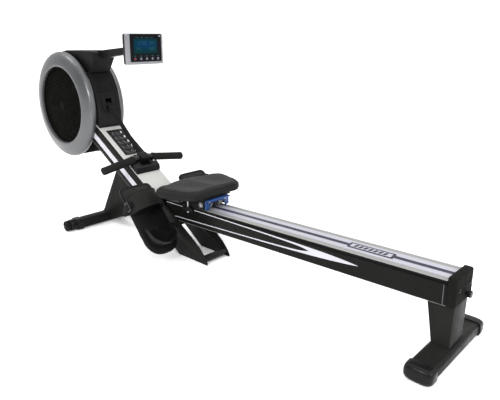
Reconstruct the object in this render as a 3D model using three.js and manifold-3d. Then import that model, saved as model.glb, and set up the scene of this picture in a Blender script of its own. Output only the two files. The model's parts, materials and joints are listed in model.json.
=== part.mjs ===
// Folding rowing machine, in millimetres.
// +Z is up, +X runs from the flywheel drum towards the rail's rear end, -Y is the rower's left.
// The drawing datum is the rail's rear end, on the floor, in the mid-plane. The outer group shifts
// it so that the origin is the middle of the footprint.
import * as THREE from 'three';
import { mergeVertices } from 'three/addons/utils/BufferGeometryUtils.js';
import Module from 'manifold-3d';

const wasm = await Module();
wasm.setup();

// ---------------------------------------------------------------- driving dimensions
const GAP = 0.3;
const DATUM_SHIFT = 1093.1;

const RAIL = { length: 1300, half: 59.4, height: 80.8, endZ: 263.6, slope: 0.02779 };
const TRACK = { inner: 8, outer: 46.3, depth: 1.5 };
const HINGE = { x: -1272, z: 196, bolt: 8 };

const BEAM = { x: -1700, z: 469, angle: THREE.MathUtils.degToRad(31.75), depth: 92.9 };
const PLATE = { inner: 62, outer: 66.3 };
const COVER_THICKNESS = 2;

const DRUM = { x: -1978.5, z: 566, shell: 235, ring: 253.6, eye: 186 };
const AXLE = 8.5;
const REEL = { core: 44, flange: 64, half: 16 };
const STRAP = { width: 25, thickness: 2 };
const GUIDE = { x: -1726, z: 583.5, radius: 8 };

const CONSOLE = { back: -1437, front: -1411, z: 847.5, half: 94, high: 62.5 };
const TILT = { x: -1450, z: 846, radius: 9 };
const BUTTON = { radius: 5.5, z: 808, pitch: 30, middle: 7 };
const WINDOW = { y0: -77, y1: 87, z0: 796, z1: 909.5 };

const HANDLE = { s: 246, h: 33, bar: 12.5, grip: 17.8, half: 221 };
const CRADLE = { start: 227, rest: 292, end: 314, half: 63, floor: 9 };

const PEDAL = { x: -1325, z: 295, y: 160.5, angle: THREE.MathUtils.degToRad(48.93), half: 79.5 };
const SOLE = { toe: 0, heel: 324 };
const CROSSBAR = { x: -1215, z: 115, radius: 12, half: 206 };

const FRONT_FOOT = { x: -1750, half: 30, tube: 186, cap: 246, height: 54 };
const WHEEL = { radius: 25, z: 27, inner: 248, outer: 264 };
const REAR_FOOT = { x: 0, half: 40, tube: 160, cap: 200, height: 49 };

const SEAT = { front: -1192, rear: -958, bottom: 52, top: 87 };
const ROLLER = { radius: 21, inner: 18, outer: 40, front: -1131, rear: -1010, axle: 5 };
const CARRIAGE = { front: -1150, rear: -985, plate: 43.8, top: 51.7, half: 78, leg: 62, legOuter: 65.5 };

// ---------------------------------------------------------------- materials
function paint(color, roughness, metalness) {
  return new THREE.MeshStandardMaterial({ color, roughness, metalness });
}
const LOOK = {
  frame: paint(0x1b1b1a, 0.45, 0.3),
  plastic: paint(0x202124, 0.5, 0),
  gloss: paint(0x121213, 0.2, 0),
  cover: paint(0xdededa, 0.4, 0),
  silver: paint(0xa8abae, 0.35, 0.6),
  grille: paint(0x14130f, 0.7, 0.2),
  aluminium: paint(0xc6c7cc, 0.35, 0.9),
  steel: paint(0xd6d7e2, 0.25, 1),
  zinc: paint(0xbfc1c4, 0.3, 1),
  foam: paint(0x333433, 0.9, 0),
  seat: paint(0x454744, 0.75, 0),
  blue: paint(0x2c57a8, 0.4, 0.1),
  rubber: paint(0x181818, 0.85, 0),
  webbing: paint(0x17171a, 0.9, 0),
  iron: paint(0x4a4b4d, 0.5, 0.8),
  nylon: paint(0xd8d6cc, 0.5, 0),
  screen: paint(0x0a0c10, 0.1, 0),
  button: paint(0xb7b9c4, 0.35, 0),
};

// ---------------------------------------------------------------- solids
function solid(geometry) {
  for (const name of Object.keys(geometry.attributes)) {
    if (name !== 'position') geometry.deleteAttribute(name);
  }
  const merged = mergeVertices(geometry);
  const position = merged.getAttribute('position');
  const [a, b, c] = [new THREE.Vector3(), new THREE.Vector3(), new THREE.Vector3()];
  const triangles = [];
  let volume = 0;
  for (let i = 0; i < merged.index.count; i += 3) {
    const [p, q, r] = [0, 1, 2].map((k) => merged.index.getX(i + k));
    if (p === q || q === r || r === p) continue;
    a.fromBufferAttribute(position, p);
    b.fromBufferAttribute(position, q);
    c.fromBufferAttribute(position, r);
    volume += a.dot(b.cross(c));
    triangles.push(p, q, r);
  }
  if (volume < 0) triangles.reverse();
  const vertProperties = new Float32Array(position.array);
  const triVerts = new Uint32Array(triangles);
  return new wasm.Manifold(new wasm.Mesh({ numProp: 3, vertProperties, triVerts }));
}

const join = (...pieces) => pieces.reduce((whole, piece) => whole.add(piece));
const cut = (base, ...tools) => tools.reduce((rest, tool) => rest.subtract(tool), base);

function block(x0, x1, y0, y1, z0, z1) {
  const geometry = new THREE.BoxGeometry(x1 - x0, y1 - y0, z1 - z0);
  geometry.translate((x0 + x1) / 2, (y0 + y1) / 2, (z0 + z1) / 2);
  return solid(geometry);
}

const outline = (points) => new THREE.Shape(points.map(([u, v]) => new THREE.Vector2(u, v)));

function roundedOutline(u0, u1, v0, v1, radius) {
  const shape = new THREE.Shape();
  shape.moveTo(u0 + radius, v0);
  shape.lineTo(u1 - radius, v0);
  shape.absarc(u1 - radius, v0 + radius, radius, -Math.PI / 2, 0);
  shape.lineTo(u1, v1 - radius);
  shape.absarc(u1 - radius, v1 - radius, radius, 0, Math.PI / 2);
  shape.lineTo(u0 + radius, v1);
  shape.absarc(u0 + radius, v1 - radius, radius, Math.PI / 2, Math.PI);
  shape.lineTo(u0, v0 + radius);
  shape.absarc(u0 + radius, v0 + radius, radius, Math.PI, 1.5 * Math.PI);
  return shape;
}

function extrude(shape, depth, curveSegments = 4) {
  return new THREE.ExtrudeGeometry(shape, { depth, bevelEnabled: false, curveSegments });
}

// An X-Z outline swept across the machine, between two Y values given in either order.
function slab(shape, ya, yb, curveSegments) {
  const geometry = extrude(shape, Math.abs(yb - ya), curveSegments);
  geometry.rotateX(Math.PI / 2);
  geometry.translate(0, Math.max(ya, yb), 0);
  return solid(geometry);
}

// A Y-Z outline swept along X.
function run(shape, x0, x1, curveSegments) {
  const geometry = extrude(shape, x1 - x0, curveSegments);
  geometry.rotateX(Math.PI / 2);
  geometry.rotateZ(Math.PI / 2);
  geometry.translate(x0, 0, 0);
  return solid(geometry);
}

// An X-Y outline raised along Z.
function raise(shape, z0, z1, curveSegments) {
  const geometry = extrude(shape, z1 - z0, curveSegments);
  geometry.translate(0, 0, z0);
  return solid(geometry);
}

// A round bar across the machine.
function across(radius, x, z, ya, yb, sides = 20) {
  const geometry = new THREE.CylinderGeometry(radius, radius, Math.abs(yb - ya), sides);
  geometry.translate(x, (ya + yb) / 2, z);
  return solid(geometry);
}

function upright(radius, x, y, z0, z1, sides = 12) {
  const geometry = new THREE.CylinderGeometry(radius, radius, z1 - z0, sides);
  geometry.rotateX(Math.PI / 2);
  geometry.translate(x, y, (z0 + z1) / 2);
  return solid(geometry);
}

function lengthwise(radius, x0, x1, y, z, sides = 20) {
  const geometry = new THREE.CylinderGeometry(radius, radius, x1 - x0, sides);
  geometry.rotateZ(Math.PI / 2);
  geometry.translate((x0 + x1) / 2, y, z);
  return solid(geometry);
}

// A closed (radius, y) profile turned about an axis across the machine through (x, z).
function turned(profile, x, z, sides) {
  const points = [...profile, profile[0]].map(([r, y]) => new THREE.Vector2(r, y));
  const geometry = new THREE.LatheGeometry(points, sides);
  geometry.translate(x, 0, z);
  return solid(geometry);
}

// A ribbon of constant thickness along an X-Z path.
function ribbon(path, thickness) {
  const left = [];
  const right = [];
  path.forEach(([x, z], i) => {
    const [x0, z0] = path[Math.max(i - 1, 0)];
    const [x1, z1] = path[Math.min(i + 1, path.length - 1)];
    const reach = Math.hypot(x1 - x0, z1 - z0);
    const [nx, nz] = [(z0 - z1) / reach, (x1 - x0) / reach];
    left.push([x + (nx * thickness) / 2, z + (nz * thickness) / 2]);
    right.push([x - (nx * thickness) / 2, z - (nz * thickness) / 2]);
  });
  return outline([...left, ...right.reverse()]);
}

function arc(x, z, radius, fromDegrees, toDegrees, steps) {
  return Array.from({ length: steps + 1 }, (_, i) => {
    const angle = THREE.MathUtils.degToRad(fromDegrees + ((toDegrees - fromDegrees) * i) / steps);
    return [x + radius * Math.cos(angle), z + radius * Math.sin(angle)];
  });
}

// A round pipe along a smooth curve.
function pipe(points, radius, steps, sides = 14) {
  const curve = new THREE.CatmullRomCurve3(points.map((p) => new THREE.Vector3(...p)));
  const ring = outline(arc(0, 0, radius, 0, 360 - 360 / sides, sides - 1));
  return solid(new THREE.ExtrudeGeometry(ring, { steps, bevelEnabled: false, extrudePath: curve }));
}

// A point given along the beam's top line (s down the slope) and square to it (h).
function onBeam(s, h) {
  const [cosine, sine] = [Math.cos(BEAM.angle), Math.sin(BEAM.angle)];
  return [BEAM.x + s * cosine + h * sine, BEAM.z - s * sine + h * cosine];
}

// ---------------------------------------------------------------- assembly
const machine = new THREE.Group();
machine.position.x = DATUM_SHIFT;

function turnedGroup(x, y, z, angle) {
  const group = new THREE.Group();
  group.position.set(x, y, z);
  group.rotation.y = angle;
  machine.add(group);
  return group;
}

const beamGroup = turnedGroup(BEAM.x, 0, BEAM.z, BEAM.angle);
const railGroup = turnedGroup(0, 0, RAIL.endZ, -RAIL.slope);

function place(name, body, material, parent = machine) {
  const { vertProperties, triVerts } = body.getMesh();
  const geometry = new THREE.BufferGeometry();
  geometry.setAttribute('position', new THREE.BufferAttribute(vertProperties, 3));
  geometry.setIndex(new THREE.BufferAttribute(triVerts, 1));
  const mesh = new THREE.Mesh(geometry, material);
  mesh.name = name;
  parent.add(mesh);
}

const SIDES = [['left', -1], ['right', 1]];

// ---------------------------------------------------------------- frame
function makeFrame() {
  const plateOutline = outline([
    onBeam(-322, -25),
    onBeam(-300, -COVER_THICKNESS - GAP),
    onBeam(444, -COVER_THICKNESS - GAP),
    [-1262, 224],
    [-1210, 190],
    [-1121, 130],
    [-1052, 86],
    [-1018, 60],
    [-992, 32],
    [-977, 8],
    [-978, 0],
    [-1154, 0],
    onBeam(469, -BEAM.depth),
    onBeam(-308, -BEAM.depth),
    onBeam(-322, -78),
  ]);
  const wide = PLATE.outer + 5;
  for (const [name, side] of SIDES) {
    place(`side_plate_${name}`, cut(
      slab(plateOutline, side * PLATE.inner, side * PLATE.outer),
      across(HINGE.bolt + GAP, HINGE.x, HINGE.z, -wide, wide),
      across(CROSSBAR.radius + GAP, CROSSBAR.x, CROSSBAR.z, -wide, wide),
      across(AXLE + GAP, DRUM.x, DRUM.z, -wide, wide),
    ), LOOK.frame);
  }

  const half = PLATE.inner - GAP;
  const wall = 3;
  const tube = outline([[-half, -BEAM.depth], [half, -BEAM.depth], [half, -2.3], [-half, -2.3]]);
  const [low, high] = [wall - BEAM.depth, -2.3 - wall];
  tube.holes.push(outline([[wall - half, low], [half - wall, low], [half - wall, high], [wall - half, high]]));
  place('beam_core', run(tube, -85, 437), LOOK.frame, beamGroup);

  const cover = block(-50, 440, -PLATE.outer, PLATE.outer, -COVER_THICKNESS, 0);
  place('beam_top_cover', cover, LOOK.cover, beamGroup);

  place('cross_rod', across(15, -1003, 19, -half, half, 20), LOOK.gloss);

  const head = (y0, y1) => across(13.5, HINGE.x, HINGE.z, y0, y1, 6);
  const bolt = across(HINGE.bolt, HINGE.x, HINGE.z, -75, 75);
  place('hinge_bolt', join(bolt, head(-75, -66.6), head(66.6, 75)), LOOK.zinc);
}

function makeFrontLeg() {
  const { x, half, tube, cap, height } = FRONT_FOOT;
  const under = -BEAM.depth - GAP;
  const frontEdge = [-1780, 30];
  const [topFront, topRear] = [onBeam(156, under), onBeam(261, under)];
  const web = 3;
  const post = slab(outline([frontEdge, [-1725, 20], [-1562, 68], topRear, topFront]), -42, 42);
  const hollow = slab(outline([
    [-1771, 37],
    [-1725, 25],
    [-1540, 79.5],
    [topRear[0] + 40, topRear[1]],
    [topRear[0] + 40, topFront[1] + 40],
    [topFront[0] + 4 + web * 6, topFront[1] + 40],
  ]), web - 42, 42 - web);
  const bar = roundedOutline(x - half, x + half, 4, 50, 14);
  bar.holes.push(roundedOutline(x - half + web, x + half - web, 4 + web, 50 - web, 11));
  const openBar = cut(slab(bar, -tube, tube), block(x - 16, x + 16, -38, 38, 40, 60));
  place('front_leg', join(cut(post, hollow), openBar), LOOK.frame);

  for (const [name, side] of SIDES) {
    const shoe = roundedOutline(x - half - 4, x + half + 4, 0, height, 20);
    place(`front_foot_cap_${name}`, join(
      slab(shoe, side * (tube + GAP), side * 220),
      across(27, x, 27, side * 215, side * cap, 24),
      across(4, x, WHEEL.z, side * 240, side * 268, 12),
      across(8, x, WHEEL.z, side * (WHEEL.outer + GAP), side * 268, 6),
    ), LOOK.gloss);

    const { radius, z, inner, outer } = WHEEL;
    const tread = [[4.5, inner], [radius - 2, inner], [radius, inner + 2], [radius, outer - 2],
      [radius - 2, outer], [4.5, outer]];
    place(`wheel_${name}`, turned(tread.map(([r, y]) => [r, side * y]), x, z, 20), LOOK.rubber);
  }
}

// ---------------------------------------------------------------- drum
function makeDrum() {
  const { x, z, shell, ring, eye } = DRUM;
  const beamSection = [onBeam(-160, -94), onBeam(60, -94), onBeam(60, 0.8), onBeam(-160, 0.8)];
  const passage = slab(outline(beamSection), -67, 67);
  const window = block(-1770, -1700, -22, 22, 575, 618);
  for (const [name, side] of SIDES) {
    const wall = [[shell - 3, GAP], [shell, GAP], [shell, 70], [190, 70], [190, 67.2], [shell - 3, 67.2]];
    const body = turned(wall.map(([r, y]) => [r, side * y]), x, z, 36);
    place(`drum_shell_${name}`, cut(body, passage, window), LOOK.plastic);

    const crown = [[ring, 67], [ring, 78], [251.5, 87], [244, 96], [222, 104], [198, 108.3],
      [189, 108.3], [eye, 105.5], [eye, 86], [eye + 2.6, 86], [eye + 2.6, 104.8], [198, 105.3],
      [221, 101.2], [242, 93.5], [249, 85.5], [251, 78], [251, 67]];
    place(`ring_cover_${name}`, turned(crown.map(([r, y]) => [r, side * y]), x, z, 36), LOOK.silver);
  }

  const dish = [[0, 100.5], [100, 99], [eye - 0.6, 94], [eye - 0.6, 92.2], [100, 97.2], [0, 98.7]];
  for (const [name, side] of SIDES) {
    place(`grille_${name}`, turned(dish.map(([r, y]) => [r, side * y]), x, z, 36), LOOK.grille);
  }

  const nuts = SIDES.map(([, side]) => across(14, x, z, side * 66.6, side * 76, 6));
  place('flywheel_axle', join(across(AXLE, x, z, -80, 80), ...nuts), LOOK.zinc);

  const bore = AXLE + GAP;
  const wheel = [[bore, 25], [30, 25], [118, 31], [118, 26], [168, 26], [168, 46], [118, 46], [118, 39],
    [30, 52], [bore, 52]];
  place('flywheel', turned(wheel, x, z, 28), LOOK.iron);

  const backPlate = [[bore, -58], [28, -58], [28, -29], [184, -29], [184, -27], [28, -27],
    [28, -18], [bore, -18]];
  const bladeCount = 12;
  const blades = Array.from({ length: bladeCount }, (_, i) => {
    const geometry = new THREE.BoxGeometry(112, 26, 2);
    geometry.rotateY(0.25);
    geometry.translate(126, -41, 0);
    geometry.rotateY((i * 2 * Math.PI) / bladeCount);
    geometry.translate(x, 0, z);
    return solid(geometry);
  });
  place('fan_wheel', join(turned(backPlate, x, z, 24), ...blades), LOOK.plastic);

  const { core, flange, half } = REEL;
  const spool = [[bore, -half], [flange, -half], [flange, 2 - half], [core, 2 - half], [core, half - 2],
    [flange, half - 2], [flange, half], [bore, half]];
  place('strap_reel', turned(spool, x, z, 24), LOOK.nylon);

  const turns = 3;
  const stepsPerTurn = 12;
  const coil = Array.from({ length: turns * stepsPerTurn + 1 }, (_, i) => {
    const angle = (i * 2 * Math.PI) / stepsPerTurn;
    const radius = 15 + (26 * i) / (turns * stepsPerTurn);
    return [x + radius * Math.cos(angle), z + radius * Math.sin(angle)];
  });
  place('recoil_spring', slab(ribbon(coil, 1), 17, 23.5), LOOK.steel);

  const caliper = cut(block(-150, -90, 22, PLATE.inner - GAP, -84, -44), block(-160, -116, 25, 47.5, -90, -40));
  place('brake_magnets', caliper, LOOK.iron, beamGroup);
}

function makeFairings() {
  const { x, z, shell } = DRUM;
  const barrel = across(shell + 0.5, x, z, -70, 70, 80);
  const foot = onBeam(-18, 0.5);
  const face = [[-1711, 543], [-1722.5, 620], [-1751.5, 680], [-1781.5, 733.6]];
  const fairing = slab(outline([foot, ...face, [-1840, 733.6], onBeam(-164, 0.5)]), -62, 62);
  const cavity = slab(outline([
    [foot[0] + 0.5, foot[1] + 6],
    ...face.slice(0, 3).map(([u, v]) => [u - 3.2, v]),
    [-1783, 730.5],
    [-1840, 730.5],
    onBeam(-164, 4),
  ]), -59, 59);
  const panel = slab(outline([[-1731.5, 636], [-1753, 680], [-1777, 722], [-1740, 722], [-1700, 636]]), -46, 46);
  const slot = block(-1760, -1690, -26, 26, 567, 617);
  place('front_fairing', cut(fairing, barrel, cavity, panel, slot), LOOK.plastic);

  const guide = [[0, -58.7], [3, -58.7], [3, -20], [GUIDE.radius, -20], [GUIDE.radius, 20],
    [3, 20], [3, 58.7], [0, 58.7]];
  place('strap_guide_roller', turned(guide, GUIDE.x, GUIDE.z, 16), LOOK.zinc);

  const hood = slab(outline([
    [-2030, 786],
    [-2020, 810],
    [-2000, 823],
    [-1960, 829],
    [-1742, 829],
    [-1731, 825],
    [-1727, 816],
    [-1731, 798],
    [-1762, 745],
    [-1769, 734.2],
    [-1850, 734.2],
  ]), -56, 56);
  const front = outline([[-50, 730], [50, 730], [56, 790], [56, 840], [-56, 840], [-56, 790]]);
  const taper = run(front, -2040, -1700);
  const inside = slab(outline([[-2010, 780], [-1990, 820], [-1960, 825], [-1742, 825], [-1733, 814],
    [-1736, 800], [-1765, 750], [-1773, 738], [-1850, 738]]), -43, 43);
  place('console_bracket', cut(hood.intersect(taper), barrel, inside), LOOK.plastic);
}

// ---------------------------------------------------------------- console
function makeConsole() {
  const seatZ = 829 + GAP;
  const arm = slab(outline([
    [-1800, seatZ],
    [-1797, 833],
    [-1722, 834.5],
    [-1690, 838],
    [-1558, 850],
    [-1466, 859],
    [-1452, 856],
    [-1443, 851],
    [-1440.5, 846],
    [-1443, 840],
    [-1452, 834],
    [-1468, 829],
    [-1565, 819.5],
    [-1652, 808],
    [-1712, 798],
    [-1724, 800],
    [-1724, seatZ],
  ]), -19, 19);
  const notch = block(-1464, -1430, -9, 9, 820, 870);
  const pin = across(3, TILT.x, TILT.z, -21, 21, 12);
  place('console_arm', join(cut(arm, notch), pin), LOOK.plastic);

  const { back, front, z, half, high } = CONSOLE;
  const holes = Array.from({ length: 5 }, (_, i) => (
    lengthwise(BUTTON.radius + 0.5, front - 9, front + 5, BUTTON.middle + (i - 2) * BUTTON.pitch, BUTTON.z, 12)
  ));
  const housing = run(roundedOutline(-half, half, z - high, z + high, 9), back, front);
  const { y0, y1, z0, z1 } = WINDOW;
  const window = run(roundedOutline(y0, y1, z0, z1 + 12, 4), front - 1.8, front + 5);
  const lug = join(
    across(TILT.radius, TILT.x, TILT.z, -8.5, 8.5),
    block(TILT.x, back, -8.5, 8.5, TILT.z - TILT.radius, TILT.z + TILT.radius),
  );
  const body = cut(join(cut(housing, window), lug), across(3.3, TILT.x, TILT.z, -25, 25, 12), ...holes);
  place('console_body', body, LOOK.silver);

  const glass = run(roundedOutline(y0 + GAP, y1 - GAP, z0 + GAP, z1 - GAP, 4), front - 1.5, front - 0.3);
  place('console_lens', cut(glass, ...holes), LOOK.screen);

  for (let i = 0; i < 5; i += 1) {
    const y = BUTTON.middle + (i - 2) * BUTTON.pitch;
    place(`button_${i + 1}`, lengthwise(BUTTON.radius, front - 6.5, front + 1.2, y, BUTTON.z, 12), LOOK.button);
  }
}

// ---------------------------------------------------------------- handle and pull strap
function handlePoint(y) {
  const reach = Math.abs(y);
  const bend = THREE.MathUtils.smoothstep(reach, 20, 70);
  const drop = bend * (reach - 20);
  return [HANDLE.s + 0.13 * drop, y, HANDLE.h - 0.073 * drop];
}

function handleRun(from, to, steps) {
  return Array.from({ length: steps + 1 }, (_, i) => handlePoint(from + ((to - from) * i) / steps));
}

function makeHandle() {
  const bar = pipe(handleRun(-214, 214, 16), HANDLE.bar, 16);
  place('handle_bar', bar, LOOK.frame, beamGroup);

  const channel = pipe(handleRun(-214.5, 214.5, 16), HANDLE.bar + 0.6, 16);
  for (const [name, side] of SIDES) {
    const grip = pipe(handleRun(side * 50, side * HANDLE.half, 6), HANDLE.grip, 7, 16);
    place(`handle_grip_${name}`, cut(grip, channel), LOOK.foam, beamGroup);
  }

  const clampOutline = roundedOutline(HANDLE.s - 20, HANDLE.s + 22, HANDLE.h - 17.5, HANDLE.h + 18, 8);
  const clip = block(HANDLE.s + 2, HANDLE.s + 20, -9, 9, CRADLE.floor + 1, HANDLE.h - 10);
  const clamp = join(slab(clampOutline, -20, 20), clip);
  const mouth = block(HANDLE.s - 30, HANDLE.s - 12, -13.5, 13.5, HANDLE.h - 3, HANDLE.h + 7);
  place('handle_clamp', cut(clamp, channel, mouth), LOOK.plastic, beamGroup);

  const saddle = slab(outline([
    [CRADLE.start, GAP],
    [CRADLE.end, GAP],
    [CRADLE.end, 12],
    [302, 25],
    [274, 27],
    [240, 27],
    [236, 39],
    [CRADLE.start, 37],
  ]), -CRADLE.half, CRADLE.half);
  const open = CRADLE.start - 9;
  const trough = block(open, CRADLE.rest, -25, 25, CRADLE.floor, 60);
  const shoulders = [block(open, 274, 38, 70, CRADLE.floor, 60), block(open, 274, -70, -38, CRADLE.floor, 60)];
  const lift = THREE.MathUtils.degToRad(44);
  const [ahead, aside] = [[Math.cos(lift), Math.sin(lift)], [-Math.sin(lift), Math.cos(lift)]];
  const sweep = [[0, 13.5], [0, -13.5], [90, -13.5], [90, 13.5]].map(([u, v]) => [
    HANDLE.s + u * ahead[0] + v * aside[0],
    HANDLE.h + u * ahead[1] + v * aside[1],
  ]);
  const barSpace = pipe(handleRun(-60, 60, 8), 13.4, 10, 16);
  const cradle = cut(saddle, trough, ...shoulders, slab(outline(sweep), -70, 70), barSpace);
  place('handle_cradle', cradle, LOOK.plastic, beamGroup);
}

function makePullStrap() {
  const onReel = REEL.core + 0.6 + STRAP.thickness / 2;
  const onGuide = GUIDE.radius + 0.4 + STRAP.thickness / 2;
  const [end, endZ] = onBeam(HANDLE.s - 13.5, HANDLE.h + 1.5);
  const [dx, dz] = [GUIDE.x - DRUM.x, GUIDE.z - DRUM.z];
  const towardsGuide = THREE.MathUtils.radToDeg(Math.atan2(dz, dx));
  const converge = THREE.MathUtils.radToDeg(Math.asin((onReel - onGuide) / Math.hypot(dx, dz)));
  const leave = 90 + towardsGuide - converge;
  const [ex, ez] = [end - GUIDE.x, endZ - GUIDE.z];
  const towardsHandle = THREE.MathUtils.radToDeg(Math.atan2(ez, ex));
  const drop = towardsHandle + THREE.MathUtils.radToDeg(Math.acos(onGuide / Math.hypot(ex, ez)));
  const wound = arc(DRUM.x, DRUM.z, onReel, leave + 300, leave, 20);
  const over = arc(GUIDE.x, GUIDE.z, onGuide, leave, drop, 4);
  const start = over[over.length - 1];
  const steps = 10;
  const free = Array.from({ length: steps }, (_, i) => {
    const part = (i + 1) / steps;
    return [start[0] + (end - start[0]) * part, start[1] + (endZ - start[1]) * part];
  });
  const strip = slab(ribbon([...wound, ...over, ...free], STRAP.thickness), -STRAP.width / 2, STRAP.width / 2);
  place('pull_strap', strip, LOOK.webbing);
}

// ---------------------------------------------------------------- pedals
function makePedals() {
  const centre = new THREE.Vector2(CROSSBAR.x - PEDAL.x, CROSSBAR.z - PEDAL.z);
  const barT = centre.x * Math.cos(PEDAL.angle) - centre.y * Math.sin(PEDAL.angle);
  const barH = centre.x * Math.sin(PEDAL.angle) + centre.y * Math.cos(PEDAL.angle);
  const { radius, half } = CROSSBAR;
  const tube = [[radius - 2.5, -half], [radius, -half], [radius, half], [radius - 2.5, half]];
  place('pedal_crossbar', turned(tube, CROSSBAR.x, CROSSBAR.z, 20), LOOK.frame);

  for (const [name, side] of SIDES) {
    const group = turnedGroup(PEDAL.x, side * PEDAL.y, PEDAL.z, PEDAL.angle);
    const sole = new THREE.Shape();
    const w = PEDAL.half;
    const { toe, heel } = SOLE;
    sole.moveTo(toe + 28, -w);
    sole.lineTo(heel - 64, -w);
    sole.quadraticCurveTo(heel - 4, 10 - w, heel, -14);
    sole.lineTo(heel, 14);
    sole.quadraticCurveTo(heel - 4, w - 10, heel - 64, w);
    sole.lineTo(toe + 28, w);
    sole.quadraticCurveTo(toe, w, toe, w - 28);
    sole.lineTo(toe, 28 - w);
    sole.quadraticCurveTo(toe, -w, toe + 28, -w);
    const rib = outline([[150, -7], [266, -7], [barT + 22, barH - 8], [barT + 14, barH - 19],
      [barT - 14, barH - 19], [barT - 22, barH - 8]]);
    const ribs = [-50, 40].map((y) => slab(rib, y, y + 10));
    const hole = across(radius + GAP, barT, barH, -90, 90);
    place(`footplate_${name}`, cut(join(raise(sole, -8, 0, 6), ...ribs), hole), LOOK.plastic, group);

    const cup = (inset) => {
      const shape = new THREE.Shape();
      const reach = 60 - inset;
      shape.moveTo(206 - 2 * inset, -reach);
      shape.lineTo(246, -reach);
      shape.absellipse(246, 0, 52 - inset, reach, -Math.PI / 2, Math.PI / 2);
      shape.lineTo(206 - 2 * inset, reach);
      return shape;
    };
    const slope = slab(outline([[190, 18], [302, 60], [190, 60]]), -70, 70);
    const heelCup = cut(raise(cup(0), 0.4, 50, 8), raise(cup(3), 3.4, 55, 8), slope);
    place(`heel_cup_${name}`, heelCup, LOOK.gloss, group);

    const arch = (wide, high) => arc(0, 0, 1, 0, 180, 16).map(([u, v]) => [wide * u, 0.5 + high * v]);
    const band = run(outline([...arch(75, 60), ...arch(71.5, 56.5).reverse()]), 48, 128);
    place(`foot_strap_${name}`, band, LOOK.rubber, group);
  }
}

// ---------------------------------------------------------------- rail and rear leg
function makeRail() {
  const { length, half, height } = RAIL;
  const { inner, outer, depth } = TRACK;
  const rightSide = [[half - 2, -height], [half, 2 - height], [half, -14], [54.4, -11.5], [54.4, -5.5],
    [half, -3], [half, -1.5], [half - 1.5, 0], [outer, 0], [outer, -depth], [inner, -depth], [inner, 0],
    [4, 0], [4, -3]];
  const mirrored = rightSide.map(([y, n]) => [-y, n]).reverse();
  const profile = outline([...rightSide, ...mirrored]);
  const cavity = [[half - 3.2, 3.2 - height], [half - 3.2, -17], [51, -14], [51, -6.5]];
  profile.holes.push(outline([...cavity, ...cavity.map(([y, n]) => [-y, n]).reverse()]));
  const [cosine, sine] = [Math.cos(RAIL.slope), Math.sin(RAIL.slope)];
  const pinS = HINGE.x * cosine + (HINGE.z - RAIL.endZ) * sine;
  const pinN = (HINGE.z - RAIL.endZ) * cosine - HINGE.x * sine;
  const sleeve = [[HINGE.bolt + 0.5, -61], [12, -61], [12, 61], [HINGE.bolt + 0.5, 61]];
  const bore = across(11, pinS, pinN, -70, 70);
  const body = join(cut(run(profile, -length, 0), bore), turned(sleeve, pinS, pinN, 20));
  place('rail_beam', body, LOOK.aluminium, railGroup);

  const capSide = outline([[GAP, -80], [25, -80], [28, -76], [28, 6], [24, 10.4], [GAP, 10.4]]);
  place('rail_end_cap', slab(capSide, -60, 60), LOOK.plastic, railGroup);

  const knob = [lengthwise(5, 28.3, 34, 18, -58, 12), lengthwise(11, 34, 44, 18, -58, 12)];
  place('rear_knob', join(...knob), LOOK.gloss, railGroup);
}

function makeRearLeg() {
  const { x, half, tube, cap, height } = REAR_FOOT;
  const post = slab(outline([[-56, 180.6], [25, 182.9], [25, 20], [-27, 20], [-29, 45]]), -48, 48);
  const hollow = slab(outline([[-52.5, 190], [22, 190], [22, 12], [-24, 12], [-26, 45]]), -45, 45);
  const bar = roundedOutline(x - half, x + half, 4, height - 3, 13);
  bar.holes.push(roundedOutline(x - half + 3, x + half - 3, 7, height - 6, 10));
  const openBar = cut(slab(bar, -tube, tube), block(-24, 22, -45, 45, 30, 60));
  place('rear_leg', join(cut(post, hollow), openBar), LOOK.frame);

  for (const [name, side] of SIDES) {
    place(`rear_foot_cap_${name}`, join(
      slab(roundedOutline(x - half - 4, x + half + 4, 0, height, 15), side * (tube + GAP), side * (cap - 8)),
      slab(roundedOutline(x - half, x + half, 4, height - 4, 13), side * (cap - 9), side * cap),
    ), LOOK.gloss);
  }
}

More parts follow.
